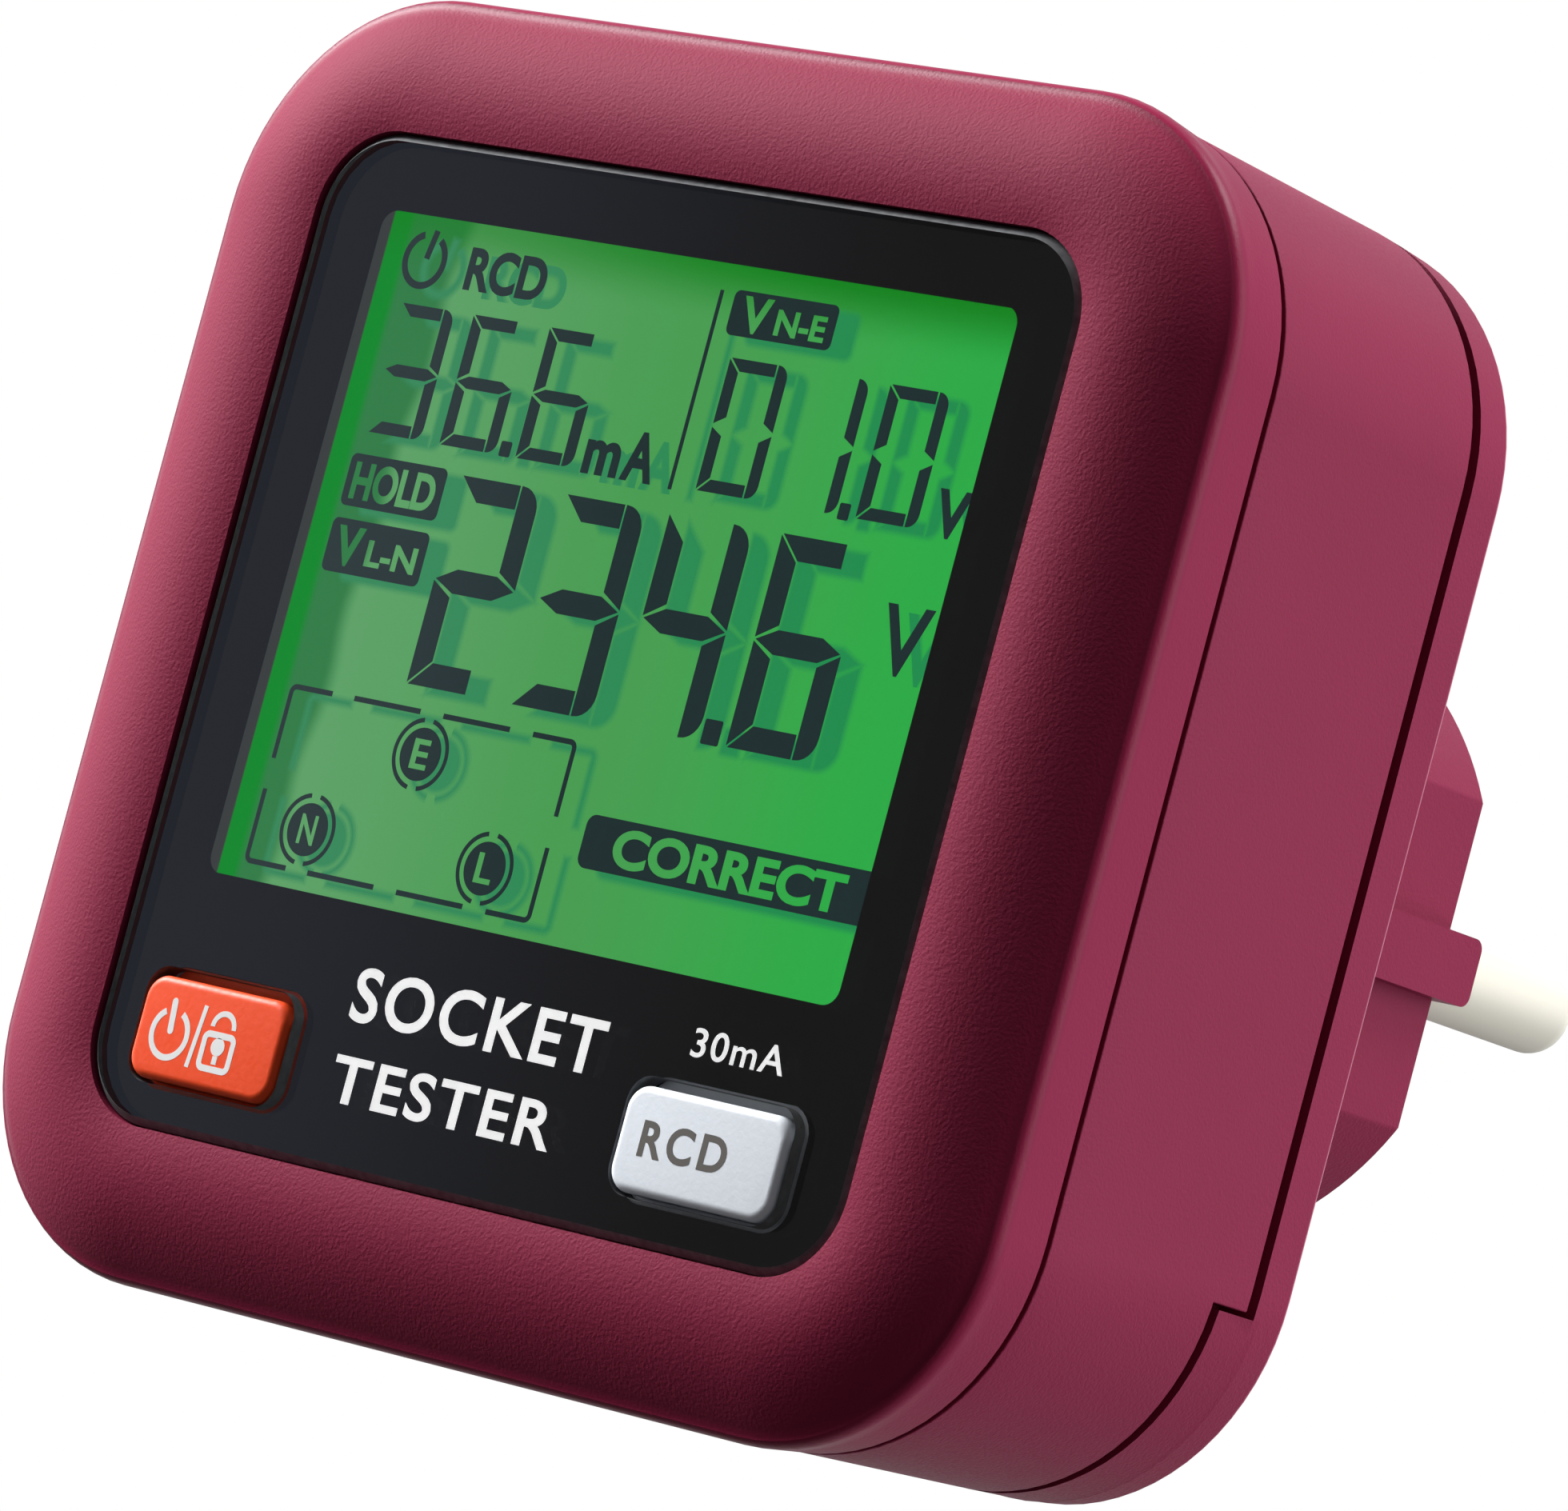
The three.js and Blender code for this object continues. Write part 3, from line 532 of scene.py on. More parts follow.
def add_rear_cover(material):
    edge = 0.5
    loops = [outside(GROOVE_BACK)]
    for step in range(7):
        angle = step / 6 * math.pi / 2
        inset = edge - edge * math.cos(angle)
        loops.append(loop(STATIONS[-1][1] - inset, CASE_BACK - edge + edge * math.sin(angle),
                          CASE_CORNER - inset))
    cover = skin("rear_cover_shell", loops)
    inside, joined = WALL + GAP, GROOVE_BACK + OVERLAP
    skirt = skin("skirt", [outside(SKIRT_START), outside(GROOVE_BACK), outside(GROOVE_BACK, 0.0, joined),
                           outside(GROOVE_BACK, WALL, joined), outside(SKIRT_START, WALL)], ring=True)
    link = skin("skirt_link", [
        outside(SKIRT_START, WALL - 0.4), outside(SKIRT_START, WALL - 0.4, joined),
        outside(SKIRT_START, inside + GAP, joined), outside(SKIRT_START, inside + GAP)], ring=True)
    for ring_piece in (skirt, link):
        combine(ring_piece, [below("skirt_cut", SKIRT_TOP - GAP, 0, FAR)], "INTERSECT")
    tongue = skin("tongue", [
        outside(GROOVE_FRONT, inside, TONGUE_FRONT), outside(GROOVE_FRONT, inside, joined),
        outside(GROOVE_FRONT, inside + TONGUE_WALL, joined),
        outside(GROOVE_FRONT, inside + TONGUE_WALL, TONGUE_FRONT)], ring=True)
    plug = boss("plug_body", BOSS_RADIUS, BOSS_FLAT, CASE_BACK - 1, PLUG_END)
    combine(cover, [skirt, link, tongue, plug, rib("rib_left", -1), rib("rib_right", 1)]
            + posts("sleeve", POST_RADIUS, POST_SPLIT + GAP, joined), "UNION")

    hollow = boss("hollow", BOSS_RADIUS - BOSS_WALL, BOSS_FLAT - BOSS_WALL, 24, PLUG_END - BOSS_END)
    slot_wall = SLOT_HALF + BOSS_WALL
    combine(hollow, [box_piece(f"slot_wall_{side}", (-slot_wall, slot_wall), (SLOT_FRONT - BOSS_WALL, FAR),
                               z_span(side, SLOT_FLOOR - SLOT_BACKING, 30))
                     for side in (-1, 1)], "DIFFERENCE")
    cuts = [hollow]
    for side in (-1, 1):
        cuts.append(box_piece(f"slot_{side}", (-SLOT_HALF, SLOT_HALF), (SLOT_FRONT, FAR),
                              z_span(side, SLOT_FLOOR, 30)))
        cuts.append(box_piece(f"tail_{side}", (-TAIL_HALF, TAIL_HALF), (TAIL - 0.4, TAIL + 1.2),
                              z_span(side, 13, 17)))
        cuts.append(cylinder(f"pin_hole_{side}", PIN_RADIUS + 0.15, 50, 60, side * PIN_X, 0))
    cuts += posts("screw_hole", POST_HOLE, POST_SPLIT, 30)
    cuts += posts("head_hole", HEAD_RADIUS + GAP, HEAD_FRONT - GAP, 30)
    combine(cover, cuts, "DIFFERENCE")
    soften(cover, 0.18, 3, 50)
    place(cover, material, slot="case_plastic", replaces=["rear_cover"])


# ------------------------------------------------------------------ lens and buttons
BUTTON_Z, BUTTON_HALF_Z, BUTTON_CORNER, BUTTON_PROUD = -22.15, 2.83, 1.3, 0.24
BUTTON_ROUND, FLANGE, FLANGE_BACK = 0.45, 0.7, 2.9
BUTTON_PLACE = {"power": (-18.77, 5.4), "rcd": (17.05, 5.68)}       # centre and half width
HOLE_Z, HOLE_HALF_Z, HOLE_GAP, HOLE_CORNER = -22.0, 3.2, 0.18, 1.5
LENS_BEVEL = 0.42


def add_lens(material, edge_material):
    """Clear front plate with a bevelled edge and two button holes."""
    loops = []
    for step in range(5):
        t = step / 4
        inset = LENS_BEVEL * (1 - t)
        loops.append(loop(PANEL_X - inset, LENS_BEVEL * t, PANEL_CORNER - inset, PANEL_Z - inset,
                          z=PANEL_CENTRE))
    loops.append(loop(PANEL_X, LENS_BACK, PANEL_CORNER, PANEL_Z, z=PANEL_CENTRE))
    lens = skin("front_lens", loops, smooth_angle=20)
    cuts = []
    for key, (x, half) in BUTTON_PLACE.items():
        cuts.append(skin(f"{key}_cut", [loop(half + HOLE_GAP, depth, HOLE_CORNER, HOLE_HALF_Z, x, HOLE_Z, 10)
                                        for depth in (-1, 3)]))
    combine(lens, cuts, "DIFFERENCE")
    shade(lens, 20)
    place(lens, material, slot="window_clear", replaces=["display_window"])
    lens.data.materials.append(edge_material)
    for face in lens.data.polygons:
        across, up = abs(face.center.x) / MM, abs(face.center.z / MM - PANEL_CENTRE)
        facing = abs(face.normal.y)
        in_hole = face.center.z / MM < HOLE_Z + HOLE_HALF_Z + 0.2
        corner = math.hypot(max(0, across - PANEL_X + PANEL_CORNER), max(0, up - PANEL_Z + PANEL_CORNER))
        at_rim = max(across - PANEL_X, up - PANEL_Z) > -0.05 or corner > PANEL_CORNER - 0.08
        # grey on the chamfer and rim; on the walls of the button holes it is painted shade
        if 0.3 < facing < 0.95 or (facing < 0.3 and (in_hole or at_rim)):
            face.material_index = 1


def add_button(key, material, body, slot):
    x, half = BUTTON_PLACE[key]
    loops = []
    for step in range(9):
        angle = step / 8 * math.pi / 2
        inset = BUTTON_ROUND * (1 - math.sin(angle))
        loops.append(loop(half - inset, -BUTTON_PROUD + BUTTON_ROUND * (1 - math.cos(angle)),
                          BUTTON_CORNER - inset * 0.7, BUTTON_HALF_Z - inset, x, BUTTON_Z, 12))
    loops.append(loop(half, LCD_FRONT, BUTTON_CORNER, BUTTON_HALF_Z, x, BUTTON_Z, 12))
    for depth in (LCD_FRONT, FLANGE_BACK):
        loops.append(loop(half + FLANGE, depth, BUTTON_CORNER + FLANGE, BUTTON_HALF_Z + FLANGE,
                          x, BUTTON_Z, 12))
    cap = skin(f"{key}_button_cap", loops, smooth_angle=40)
    place(cap, material, body=body, slot=slot, replaces=[f"{key}_button"])


# ------------------------------------------------------------------ printed and displayed shapes
INK = 0.012                                     # thickness of a printed or displayed layer


def grow(points, amount):
    """Moves each edge of a convex outline outwards, or inwards for a negative amount."""
    area = sum(x0 * z1 - x1 * z0 for (x0, z0), (x1, z1) in zip(points, points[1:] + points[:1]))
    turn = 1 if area > 0 else -1
    edges = []
    for (x0, z0), (x1, z1) in zip(points, points[1:] + points[:1]):
        length = math.hypot(x1 - x0, z1 - z0)
        nx, nz = turn * (z1 - z0) / length, -turn * (x1 - x0) / length
        edges.append((nx, nz, nx * x0 + nz * z0 + amount))
    result = []
    for (a0, b0, c0), (a1, b1, c1) in zip(edges[-1:] + edges[:-1], edges):
        determinant = a0 * b1 - a1 * b0
        result.append(((c0 * b1 - c1 * b0) / determinant, (a0 * c1 - a1 * c0) / determinant))
    return result


def arc_points(x, z, radius, start, end, steps=12):
    angles = [math.radians(start + (end - start) * i / steps) for i in range(steps + 1)]
    return [(x + radius * math.cos(angle), z + radius * math.sin(angle)) for angle in angles]


class Layer:
    """Flat shapes of one ink at one depth, drawn in mm and made into one thin closed mesh."""

    def __init__(self, name, depth, swell=0.0, shift=(0.0, 0.0)):
        self.name, self.depth, self.swell, self.shift = name, depth, swell, shift
        self.bm = bmesh.new()

    def prism(self, points):
        rows = [[self.bm.verts.new(((x + self.shift[0]) * MM, (FRONT + depth) * MM, (z + self.shift[1]) * MM))
                 for x, z in points] for depth in (self.depth, self.depth + INK)]
        for i in range(len(points)):
            j = (i + 1) % len(points)
            self.bm.faces.new((rows[0][i], rows[0][j], rows[1][j], rows[1][i]))
        self.bm.faces.new(rows[0])
        self.bm.faces.new(rows[1][::-1])

    def polygon(self, points):
        self.prism(grow(points, self.swell) if self.swell else points)

    def rectangle(self, x, z, corner=0.0):
        (x0, x1), (z0, z1) = x, z
        if not corner:
            return self.polygon([(x0, z0), (x1, z0), (x1, z1), (x0, z1)])
        points = []
        for cx, cz, start in ((x1 - corner, z1 - corner, 0), (x0 + corner, z1 - corner, 90),
                              (x0 + corner, z0 + corner, 180), (x1 - corner, z0 + corner, 270)):
            points += arc_points(cx, cz, corner, start, start + 90, 5)
        return self.polygon(points)

    def disc(self, x, z, radius):
        self.polygon(arc_points(x, z, radius, 0, 360, 40)[:-1])

    def arc(self, x, z, radius, width, start, end):
        """Band of the given width inside the outer radius."""
        steps = max(4, int(abs(end - start) / 6))
        self.prism(arc_points(x, z, radius + self.swell, start, end, steps)
                   + arc_points(x, z, radius - width - self.swell, end, start, steps))

    def line(self, start, end, width, rounded=False):
        (x0, z0), (x1, z1) = start, end
        angle = math.degrees(math.atan2(z1 - z0, x1 - x0))
        half = width / 2
        if rounded:
            return self.polygon(arc_points(x1, z1, half, angle - 90, angle + 90, 6)
                                + arc_points(x0, z0, half, angle + 90, angle + 270, 6))
        across = math.radians(angle + 90)
        dx, dz = half * math.cos(across), half * math.sin(across)
        return self.polygon([(x0 - dx, z0 - dz), (x1 - dx, z1 - dz), (x1 + dx, z1 + dz), (x0 + dx, z0 + dz)])

    def outline(self, x, z, width, corner):
        """Rounded frame drawn as four sides and four corner bands."""
        (x0, x1), (z0, z1) = x, z
        inset = width / 2
        self.line((x0 + corner, z1 - inset), (x1 - corner, z1 - inset), width)
        self.line((x0 + corner, z0 + inset), (x1 - corner, z0 + inset), width)
        self.line((x0 + inset, z0 + corner), (x0 + inset, z1 - corner), width)
        self.line((x1 - inset, z0 + corner), (x1 - inset, z1 - corner), width)
        for cx, cz, start in ((x1 - corner, z1 - corner, 0), (x0 + corner, z1 - corner, 90),
                              (x0 + corner, z0 + corner, 180), (x1 - corner, z0 + corner, 270)):
            self.arc(cx, cz, corner, width, start, start + 90)

    def text(self, body, x, z, bold=0.02, spacing=1.0):
        """Plain lettering stretched to fill the box from x[0], z[0] to x[1], z[1]."""
        curve = bpy.data.curves.new("lettering", "FONT")
        curve.body = body
        curve.size = 1
        curve.offset = bold
        curve.space_character = spacing
        curve.extrude = 0.5
        curve.resolution_u = 6
        letters = bpy.data.objects.new("lettering", curve)
        bpy.context.scene.collection.objects.link(letters)
        bpy.context.view_layer.update()
        mesh = bpy.data.meshes.new_from_object(letters.evaluated_get(bpy.context.evaluated_depsgraph_get()))
        bpy.data.objects.remove(letters)
        low = [min(v.co[k] for v in mesh.vertices) for k in (0, 1)]
        high = [max(v.co[k] for v in mesh.vertices) for k in (0, 1)]
        for vert in mesh.vertices:
            across = (vert.co[0] - low[0]) / (high[0] - low[0])
            up = (vert.co[1] - low[1]) / (high[1] - low[1])
            vert.co = Vector(((x[0] + across * (x[1] - x[0]) + self.shift[0]) * MM,
                              (FRONT + self.depth + (0.5 - vert.co[2]) * INK) * MM,
                              (z[0] + up * (z[1] - z[0]) + self.shift[1]) * MM))
        self.bm.from_mesh(mesh)
        bpy.data.meshes.remove(mesh)

    def done(self, material, slot, body="case"):
        bmesh.ops.remove_doubles(self.bm, verts=self.bm.verts, dist=1e-7)
        piece = new_object(self.name, self.bm)
        return place(piece, material, body, slot)


# ------------------------------------------------------------------ display artwork
SEGMENTS = {"0": "abcdef", "1": "bc", "2": "abged", "3": "abgcd", "4": "fgbc", "6": "afgedc"}
SMALL = {"z": (11.65, 19.0), "middle": 15.25, "thick": 0.9, "high": 0.8}
BIG = {"z": (-1.3, 10.35), "middle": 4.6, "thick": 1.55, "high": 1.45}
SMALL_DIGITS = (("3", -20.5, -16.5), ("6", -15.1, -10.95), ("6", -9.45, -5.3),
                ("0", 3.65, 7.87), ("1", 9.5, 13.55), ("0", 14.95, 19.15))
BIG_DIGITS = (("2", -12.85, -6.95), ("3", -5.15, 0.68), ("4", 2.35, 8.35), ("6", 10.35, 16.45))
POINTS = (((-10.7, -9.9), (11.65, 12.5)), ((13.7, 14.47), (11.5, 12.4)), ((8.55, 9.8), (-1.33, 0.03)))
BADGES = (((2.8, 10.2), (20.1, 22.55), 0.4), ((-21.1, -13.9), (7.57, 10.47), 0.4),
          ((-21.2, -13.95), (3.9, 6.88), 0.4), ((2.35, 24.0), (-8.95, -6.06), 0.6))
SOCKET = {"x": (-21.05, 0.25), "z": (-12.42, -2.43), "line": 0.3, "corner": 0.5}
TERMINALS = (("E", -10.5, -4.82), ("N", -17.07, -10.0), ("L", -3.86, -10.06))
SEGMENT_GAP = 0.06


def digit(layer, figure, x0, x1, z, middle, thick, high):
    """Seven-segment figure; each segment is a convex outline drawn in by half the gap."""
    z0, z1 = z
    join = 0.6 * high
    round_ = 0.9 * thick
    upper = arc_points(x1 - round_, z1 - round_, round_, 90, 0, 6)
    lower = arc_points(x1 - round_, z0 + round_, round_, 270, 360, 6)
    shapes = {
        "a": [(x0, z1), (x1 - thick, z1), (x1 - thick, z1 - high), (x0 + thick, z1 - high)],
        "d": [(x0, z0), (x0 + thick, z0 + high), (x1 - thick, z0 + high), (x1 - thick, z0)],
        "f": [(x0, z1), (x0 + thick, z1 - high), (x0 + thick, middle + join), (x0, middle)],
        "e": [(x0, z0), (x0, middle), (x0 + thick, middle - join), (x0 + thick, z0 + high)],
        "b": [(x1 - thick, z1)] + upper + [(x1, middle), (x1 - thick, middle + join)],
        "c": [(x1 - thick, z0)] + lower + [(x1, middle), (x1 - thick, middle - join)],
        "g": [(x0, middle), (x0 + thick, middle + high / 2), (x1 - thick, middle + high / 2), (x1, middle),
              (x1 - thick, middle - high / 2), (x0 + thick, middle - high / 2)],
    }
    for key in SEGMENTS[figure]:
        points = shapes[key]
        layer.prism(grow(points, layer.swell - SEGMENT_GAP))


def draw_readings(layer):
    """Digits, points, units and solid badges: everything on the display that is dark."""
    for figure, x0, x1 in SMALL_DIGITS:
        digit(layer, figure, x0 - SEGMENT_GAP, x1 + SEGMENT_GAP, **SMALL)
    for figure, x0, x1 in BIG_DIGITS:
        digit(layer, figure, x0 - SEGMENT_GAP, x1 + SEGMENT_GAP, **BIG)
    for x, z in POINTS:
        layer.rectangle(x, z, 0.12)
    for x, z, corner in BADGES:
        layer.rectangle(x, z, corner)
    bold = 0.035 + layer.swell * 0.2
    layer.text("m", (-4.65, -2.1), (11.55, 13.43), bold)
    layer.text("A", (-1.85, 0.42), (11.55, 14.26), bold)
    layer.text("V", (20.1, 22.45), (11.47, 14.05), bold)
    layer.text("V", (18.66, 21.95), (4.0, 7.73), bold * 0.5)
    layer.text("RCD", (-16.45, -10.6), (20.15, 22.57), bold)


def draw_symbols(layer):
    """Thin lines: the divider, the power symbol and the socket with its three terminals."""
    layer.rectangle((1.72, 1.98), (11.5, 22.4))
    layer.arc(-19.7, 21.42, 1.62, 0.4, 108, 415)
    layer.line((-19.3, 23.1), (-19.6, 21.5), 0.4)
    (x0, x1), (z0, z1) = SOCKET["x"], SOCKET["z"]
    width, corner = SOCKET["line"], SOCKET["corner"]
    for z in (z0 + width / 2, z1 - width / 2):
        for start, end in ((x0 + corner, -17.9), (-16.25, -11.3), (-9.6, -4.7), (-3.0, x1 - corner)):
            layer.line((start, z), (end, z), width)
    for x in (x0 + width / 2, x1 - width / 2):
        for start, end in ((z0 + corner, -8.3), (-6.6, z1 - corner)):
            layer.line((x, start), (x, end), width)
    for cx, cz, start in ((x1 - corner, z1 - corner, 0), (x0 + corner, z1 - corner, 90),
                          (x0 + corner, z0 + corner, 180), (x1 - corner, z0 + corner, 270)):
        layer.arc(cx, cz, corner, width, start, start + 90)
    for _, x, z in TERMINALS:
        layer.arc(x, z, 2.0, 0.25, -80, 80)
        layer.arc(x, z, 2.0, 0.25, 100, 260)
        layer.disc(x, z, 1.46)


def draw_badge_text(layer):
    layer.text("V", (3.6, 5.67), (20.32, 22.3), 0.03)
    layer.text("N-E", (6.1, 9.6), (20.45, 21.85), 0.03)
    layer.text("HOLD", (-20.6, -14.45), (7.95, 10.05), 0.035)
    layer.text("V", (-20.6, -18.6), (4.3, 6.5), 0.035)
    layer.text("L-N", (-18.2, -14.5), (4.5, 5.95), 0.03)
    layer.text("CORRECT", (4.6, 20.9), (-8.6, -6.46), 0.035)
    for letter, x, z in TERMINALS:
        layer.text(letter, (x - 0.6, x + 0.6), (z - 0.82, z + 0.82), 0.02)


SHADOW = (1.5, -0.33)
SHADOW_LAYERS = ((0.22, 0.18, 1.985), (0.12, 0.45, 1.97), (0.02, 0.75, 1.955), (-0.08, 1.0, 1.94))


def lcd_colour(tree, shadow=0.0):
    """Backlit green, paler towards the left where the light falls in, darker left of a wavy line where the
    display's frame casts a painted shadow, deeper at the far left and along the top; shadow is 0 to 1.
    """
    x, z = along(tree, "X"), along(tree, "Z")
    # painted light: paler towards the left, where the light falls in
    light = tree.mix(tree.smooth(x, -20, 2), srgb(100, 172, 110), srgb(75, 166, 85))
    light = tree.mix(tree.smooth(x, 0, 22), light, srgb(42, 180, 72))
    # painted shadow of the display's frame: darker green left of a wavy line near x = -18.5 mm
    edge = tree.math("ADD", x, tree.math("MULTIPLY", z, -0.06))
    wave = tree.math("MULTIPLY", tree.math("SINE", tree.math("MULTIPLY", z, 0.7)), 0.25)
    edge = tree.math("ADD", edge, wave)
    colour = tree.mix(tree.smooth(edge, -19.2, -17.8), srgb(50, 132, 75), light)
    colour = tree.mix(tree.smooth(x, -21.7, -21.0), srgb(0, 145, 45), colour)
    deep = tree.math("MULTIPLY", tree.smooth(z, 20.5, 24), tree.smooth(x, -24, 10, 0.55, 1.0))
    colour = tree.mix(deep, colour, srgb(0, 138, 20))
    if shadow:
        shade_colour = tree.mix(tree.smooth(x, -20, 20), srgb(58, 146, 98), srgb(24, 148, 80))
        colour = tree.mix(shadow, colour, shade_colour)
    border = tree.smooth(x, -22.9, -22.75)
    return tree.mix(border, srgb(60, 64, 66), colour)


def lcd_material(name, shadow=0.0):
    material, tree, shader = principled(name, (0.005, 0.01, 0.006, 1), 0.5, Emission_Strength=0.93,
                                        Specular_IOR_Level=0.0)
    tree.link(lcd_colour(tree, shadow), shader.inputs["Emission Color"])
    return material


def segment_material():
    """Dark crystal, a little paler where the light falls in from the left."""
    material, tree, shader = principled("lcd_segments", (0.005, 0.008, 0.008, 1), 0.5, Emission_Strength=1.0,
                                        Specular_IOR_Level=0.0)
    across = tree.smooth(along(tree, "X"), -22, 4)
    tree.link(tree.mix(across, srgb(43, 56, 60), srgb(20, 40, 42)), shader.inputs["Emission Color"])
    return material


def add_display():
    green = lcd_material("lcd_backlit")
    dress(["lcd_glass"], green)
    for number, (swell, amount, depth) in enumerate(SHADOW_LAYERS):
        layer = Layer(f"display_shadow_{number + 1}", depth, swell, SHADOW)
        draw_readings(layer)
        draw_symbols(layer)
        layer.done(lcd_material(f"lcd_shadow_{number + 1}", amount), "lcd_green")
    dark = Layer("display_segments", 1.92)
    draw_readings(dark)
    draw_symbols(dark)
    dark.done(segment_material(), "lcd_green")
    letters = Layer("display_badge_letters", 1.905)
    draw_badge_text(letters)
    letters.done(green, "lcd_green")


# ------------------------------------------------------------------ printed legends
def ink_material(name, colour, painted_glow=0.0):
    material, tree, shader = principled(name, colour, 0.5)
    speck = object_noise(tree, 2500, 2.0)
    worn = [c * 0.93 for c in colour[:3]] + [1]
    mixed = tree.mix(speck, worn, colour)
    tree.link(mixed, shader.inputs["Base Color"])
    # painted light: the print glows in place of lamp light that does not reach it through the lens
    if painted_glow:
        tree.link(mixed, shader.inputs["Emission Color"])
        shader.inputs["Emission Strength"].default_value = painted_glow
    return material


def add_legends():
    # the white print behind the lens glows with painted light
    white = ink_material("white_print", srgb(232, 232, 232), 0.85)
    mask_print = Layer("front_print", MASK_FRONT - 0.02)
    mask_print.text("30mA", (13.84, 20.31), (-17.35, -15.8), 0.01, 1.1)
    mask_print.text("SOCKET", (-10.2, 8.0), (-19.5, -16.5), 0.018, 1.12)
    mask_print.text("TESTER", (-10.2, 6.0), (-23.9, -21.3), 0.018, 1.12)
    mask_print.done(white, "panel_plastic")

    button_white = ink_material("button_print_white", srgb(240, 240, 240))
    face = -BUTTON_PROUD - 0.01                 # the ink stands 0.01 mm proud of the cap
    power = Layer("power_button_print", face)
    power.arc(-21.57, -22.38, 1.49, 0.36, 118, 422)
    power.line((-21.73, -20.63), (-21.57, -22.2), 0.42, True)
    power.line((-19.39, -20.47), (-19.74, -23.92), 0.3)
    power.outline((-19.1, -16.6), (-23.93, -21.7), 0.36, 0.5)
    power.arc(-17.8, -21.47, 0.95, 0.32, 0, 180)
    power.disc(-17.84, -22.51, 0.5)
    power.rectangle((-18.02, -17.66), (-23.47, -23.02))
    power.done(button_white, "orange_plastic", "power_key")

    rcd = Layer("rcd_button_print", face)
    rcd.text("RCD", (13.03, 19.04), (-23.05, -21.08), 0.025, 1.25)
    rcd.done(ink_material("button_print_dark", srgb(85, 80, 75)), "white_plastic", "rcd_key")


# ------------------------------------------------------------------ plug metal
def add_pin(node, side, material):
    step_depth, round_start = PIN_BACK + PIN_STEP, PIN_TIP - PIN_ROUND
    profile = [(0, PIN_BACK), (PIN_SHANK, PIN_BACK), (PIN_SHANK, step_depth), (PIN_FLANGE, step_depth),
               (PIN_FLANGE, PIN_SHOULDER), (PIN_RADIUS, PIN_SHOULDER), (PIN_RADIUS, round_start)]
    for step in range(1, 12):
        angle = step / 12 * math.pi / 2
        profile.append((PIN_RADIUS * math.cos(angle) ** 0.8, round_start + PIN_ROUND * math.sin(angle)))
    profile.append((0, PIN_TIP))
    pin = turned(f"{node}_shaft", profile, side * PIN_X, 0, 64, 40)
    place(pin, material, slot="nickel", replaces=[node])


def dress(nodes, material):
    """Gives CAD nodes a material."""
    for name in nodes:
        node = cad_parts[name]
        node.data.materials.clear()
        node.data.materials.append(material)


# ------------------------------------------------------------------ materials
BURGUNDY = (0.215, 0.0155, 0.056, 1)
BEZEL_BURGUNDY = (0.232, 0.0140, 0.050, 1)


def case_material():
    # the rounded back edge gets a painted highlight
    return moulded("burgundy_plastic", BURGUNDY, 0.48, grain=5500, depth=0.00005, strength=0.6,
                   variation=0.12, highlight_edge_depth=CASE_BACK, Specular_IOR_Level=0.12)


def bezel_material():
    """The same plastic as the case, a little redder and grained, with a smoother ridge."""
    material, tree, shader = principled("burgundy_grained", BEZEL_BURGUNDY, 0.6, Specular_IOR_Level=0.09)
    grain = object_noise(tree, 5200, 2.0, 0.1)
    cloud = object_noise(tree, CLOUD, 3.0)
    depth = depth_behind_front(tree)
    front, side = (shades(tree, cloud, colour, 0.05) for colour in (BEZEL_BURGUNDY, BURGUNDY))
    tree.link(tree.mix(tree.smooth(depth, 1.8, 2.8), front, side), shader.inputs["Base Color"])
    polished = tree.math("MULTIPLY", tree.smooth(depth, 1.3, 2.1), tree.smooth(depth, 3.0, 4.2, 1.0, 0.6))
    tree.link(tree.smooth(polished, 0.0, 1.0, 0.66, 0.36), shader.inputs["Roughness"])
    fade = tree.math("MULTIPLY", grain, tree.smooth(polished, 0.0, 1.0, 1.0, 0.35))
    bump(tree, shader, fade, 0.8, 0.00005)
    return material


def mask_material():
    """Black print on the back of the lens, with a faint glow that is a painted reflection of the light from
    the left: lighter and a touch bluer towards the left.
    """
    material, tree, shader = principled("black_mask", srgb(8, 8, 9), 0.6, Emission_Strength=1.0,
                                        Specular_IOR_Level=0.0)
    # painted reflection: the glow fades from the left to nearly nothing at the right
    across = tree.smooth(along(tree, "X"), -27, 20)
    tree.link(tree.mix(across, srgb(30, 33, 41), srgb(3, 2, 3)), shader.inputs["Emission Color"])
    return material


def lens_material():
    material, tree, shader = principled("clear_lens", (1, 1, 1, 1), 0.02, IOR=1.49, Transmission_Weight=1.0)
    smear = object_noise(tree, 60, 3.0)
    tree.link(tree.smooth(smear, 0.3, 0.8, 0.0, 0.02), shader.inputs["Roughness"])
    return material


def lens_edge_material():
    """Grey edge round the lens's chamfer and side; on the walls of the button holes the grey is painted shade
    for the shaded button sides seen through them.
    """
    material, tree, shader = principled("lens_edge", srgb(38, 39, 41), 0.4, Specular_IOR_Level=0.4)
    rough = object_noise(tree, 1800, 2.0)
    tree.link(tree.mix(rough, srgb(52, 53, 56), srgb(120, 122, 125)), shader.inputs["Base Color"])
    return material


def laminate_material():
    """Green solder mask over copper tracks."""
    material, tree, shader = principled("board_laminate", srgb(28, 96, 52), 0.42)
    coords = tree.add("ShaderNodeTexCoord").outputs["Object"]
    tracks = tree.add("ShaderNodeTexBrick", Vector=coords, Scale=260).outputs["Fac"]
    tree.link(tree.mix(tracks, srgb(24, 86, 46), srgb(46, 120, 66)), shader.inputs["Base Color"])
    bump(tree, shader, tracks, 0.3, 0.00003)
    return material


def glass_material():
    material, tree, shader = principled("fuse_glass", (0.9, 0.95, 0.95, 1), 0.05, IOR=1.5,
                                        Transmission_Weight=0.9)
    tree.link(tree.smooth(object_noise(tree, 300), 0.3, 0.8, 0.02, 0.08), shader.inputs["Roughness"])
    return material


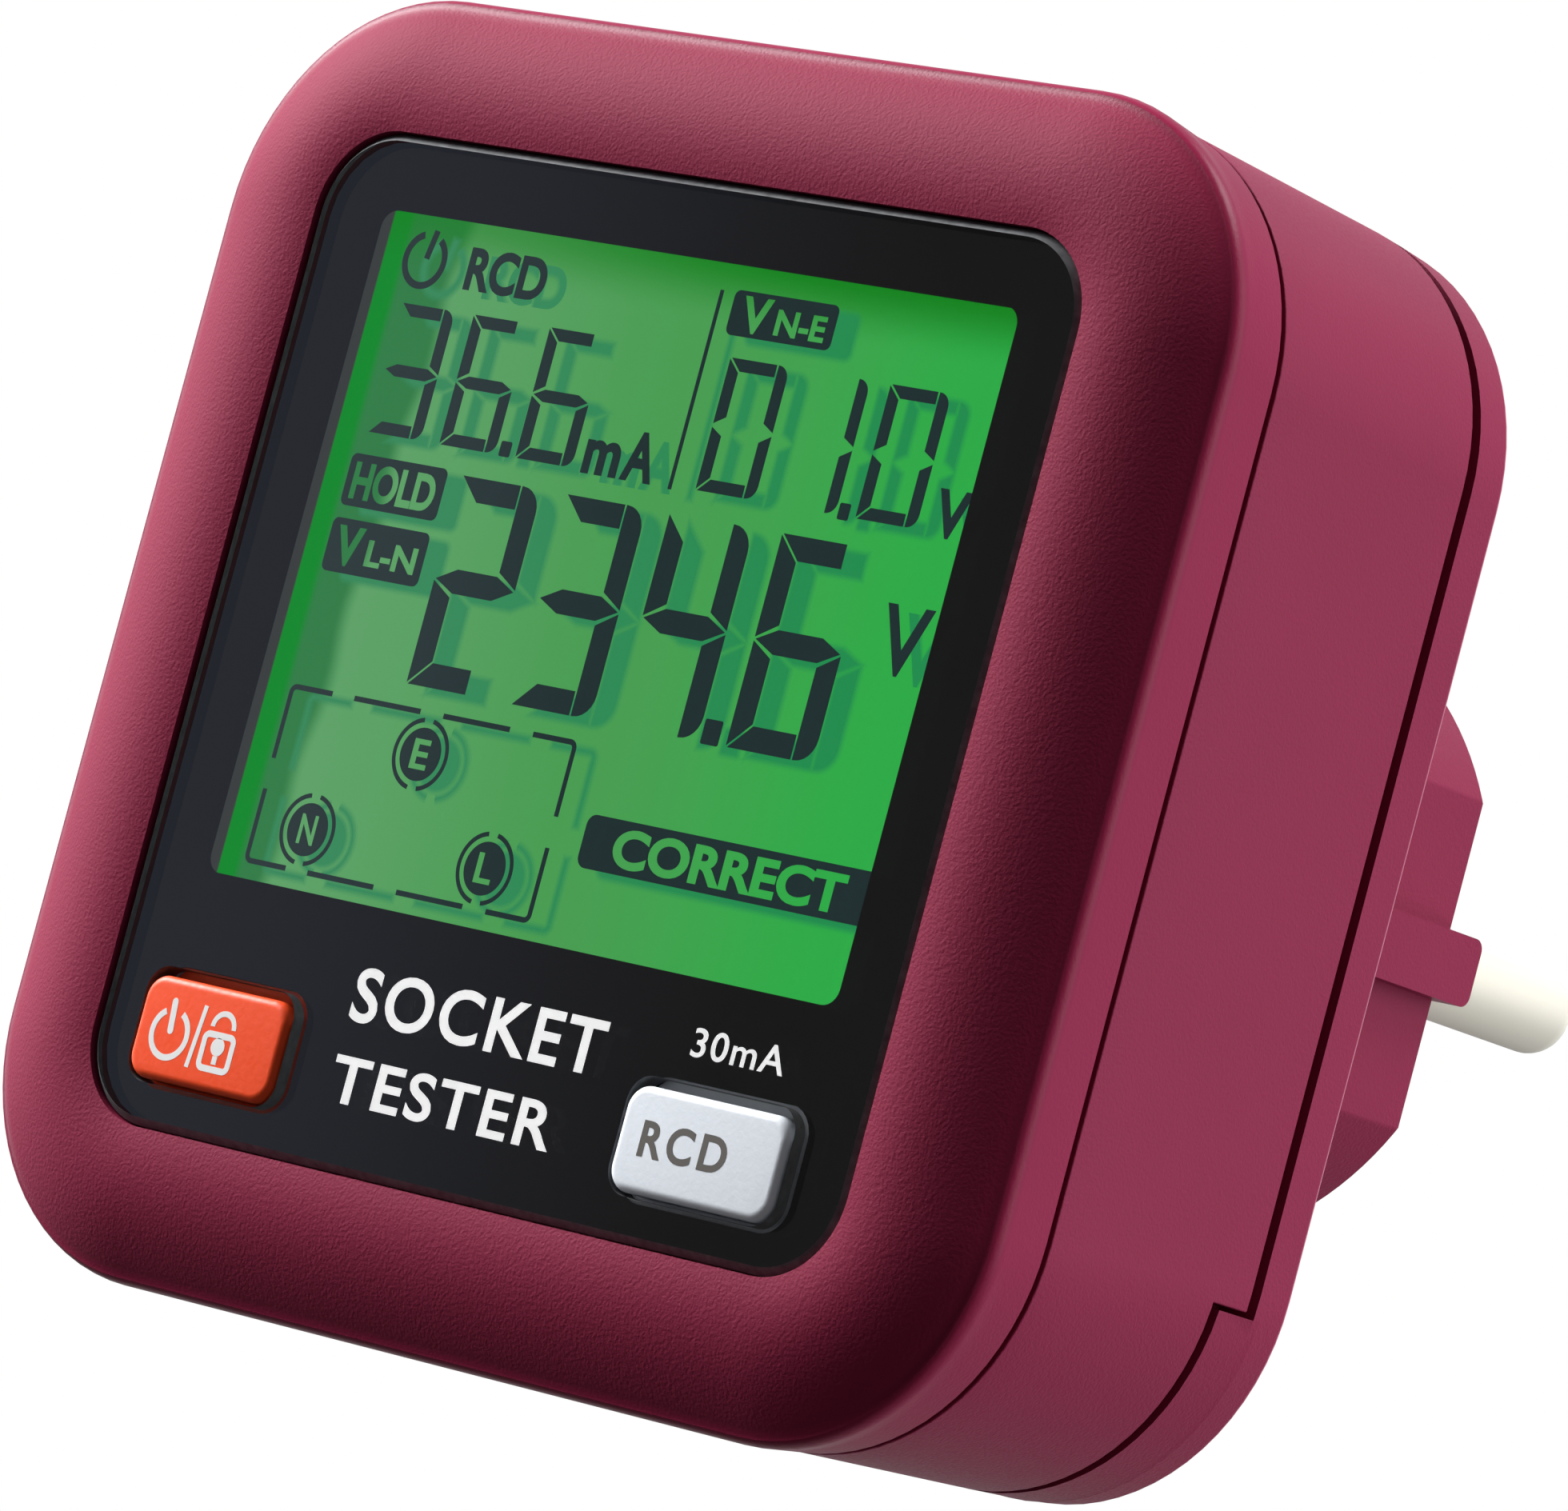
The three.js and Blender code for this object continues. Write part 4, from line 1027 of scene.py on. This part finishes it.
def dress_inside():
    """Materials of the pieces inside the case."""
    nickel = metal_material("bright_nickel", srgb(212, 208, 196), 0.35)
    steel = metal_material("zinc_steel", srgb(190, 192, 196), 0.33)
    dress([f"case_screw_{number}" for number in range(1, 5)] + ["crystal"], steel)
    dress(["earth_bridge"], metal_material("brass", srgb(205, 165, 95), 0.3))
    dress(["main_board", "power_board"], laminate_material())
    dress(["fuse"], glass_material())
    plastics = {
        "black_plastic": ((28, 28, 30), 0.5, [
            "power_switch_stem", "rcd_switch_stem", "power_switch_body", "rcd_switch_body", "lcd_frame",
            "microcontroller", "board_header", "reservoir_capacitor", "contact_carrier"]),
        "diffuser_white": ((240, 240, 232), 0.4, ["light_guide"]),
        "rubber_strip": ((58, 58, 60), 0.85, ["contact_strip"]),
        "ceramic": ((228, 224, 212), 0.7, ["load_resistor"]),
        "film_yellow": ((200, 160, 38), 0.35, ["film_capacitor"]),
        "blue_plastic": ((46, 94, 168), 0.45, ["relay", "varistor"]),
        "blue_insulation": ((42, 98, 184), 0.5, ["neutral_lead"]),
        "brown_insulation": ((108, 66, 38), 0.5, ["live_lead"]),
        "green_insulation": ((80, 154, 48), 0.5, ["earth_lead"]),
    }
    for name, (colour, roughness, nodes) in plastics.items():
        dress(nodes, moulded(name, srgb(*colour), roughness))
    dress(["earth_contact_top", "earth_contact_bottom", "fuse_cap_left", "fuse_cap_right"], nickel)


def metal_material(name, colour, roughness, metallic=1.0):
    material, tree, shader = principled(name, colour, roughness, metallic)
    drawn = object_noise(tree, 900, 2.0, 0.0, (1, 0.08, 1))
    tree.link(tree.smooth(drawn, 0.3, 0.7, roughness - 0.05, roughness + 0.08), shader.inputs["Roughness"])
    bump(tree, shader, drawn, 0.15, 0.00001)
    return material


def main():
    add_camera()
    add_studio()
    add_floor()
    case = case_material()
    add_front_cover(bezel_material())
    add_middle_housing(case)
    add_rear_cover(case)
    dress(["display_panel"], mask_material())
    add_lens(lens_material(), lens_edge_material())
    add_display()
    add_button("power", moulded("orange_plastic", srgb(255, 80, 30), 0.45,
                                Specular_IOR_Level=0.25), "power_key", "orange_plastic")
    add_button("rcd", moulded("white_button", srgb(232, 238, 246), 0.45), "rcd_key", "white_plastic")
    add_legends()
    nickel = metal_material("nickel_plate", srgb(214, 212, 200), 0.58, 0.25)
    add_pin("neutral_pin", -1, nickel)
    add_pin("live_pin", 1, nickel)
    dress_inside()
    bpy.context.scene.view_settings.view_transform = "Standard"


main()
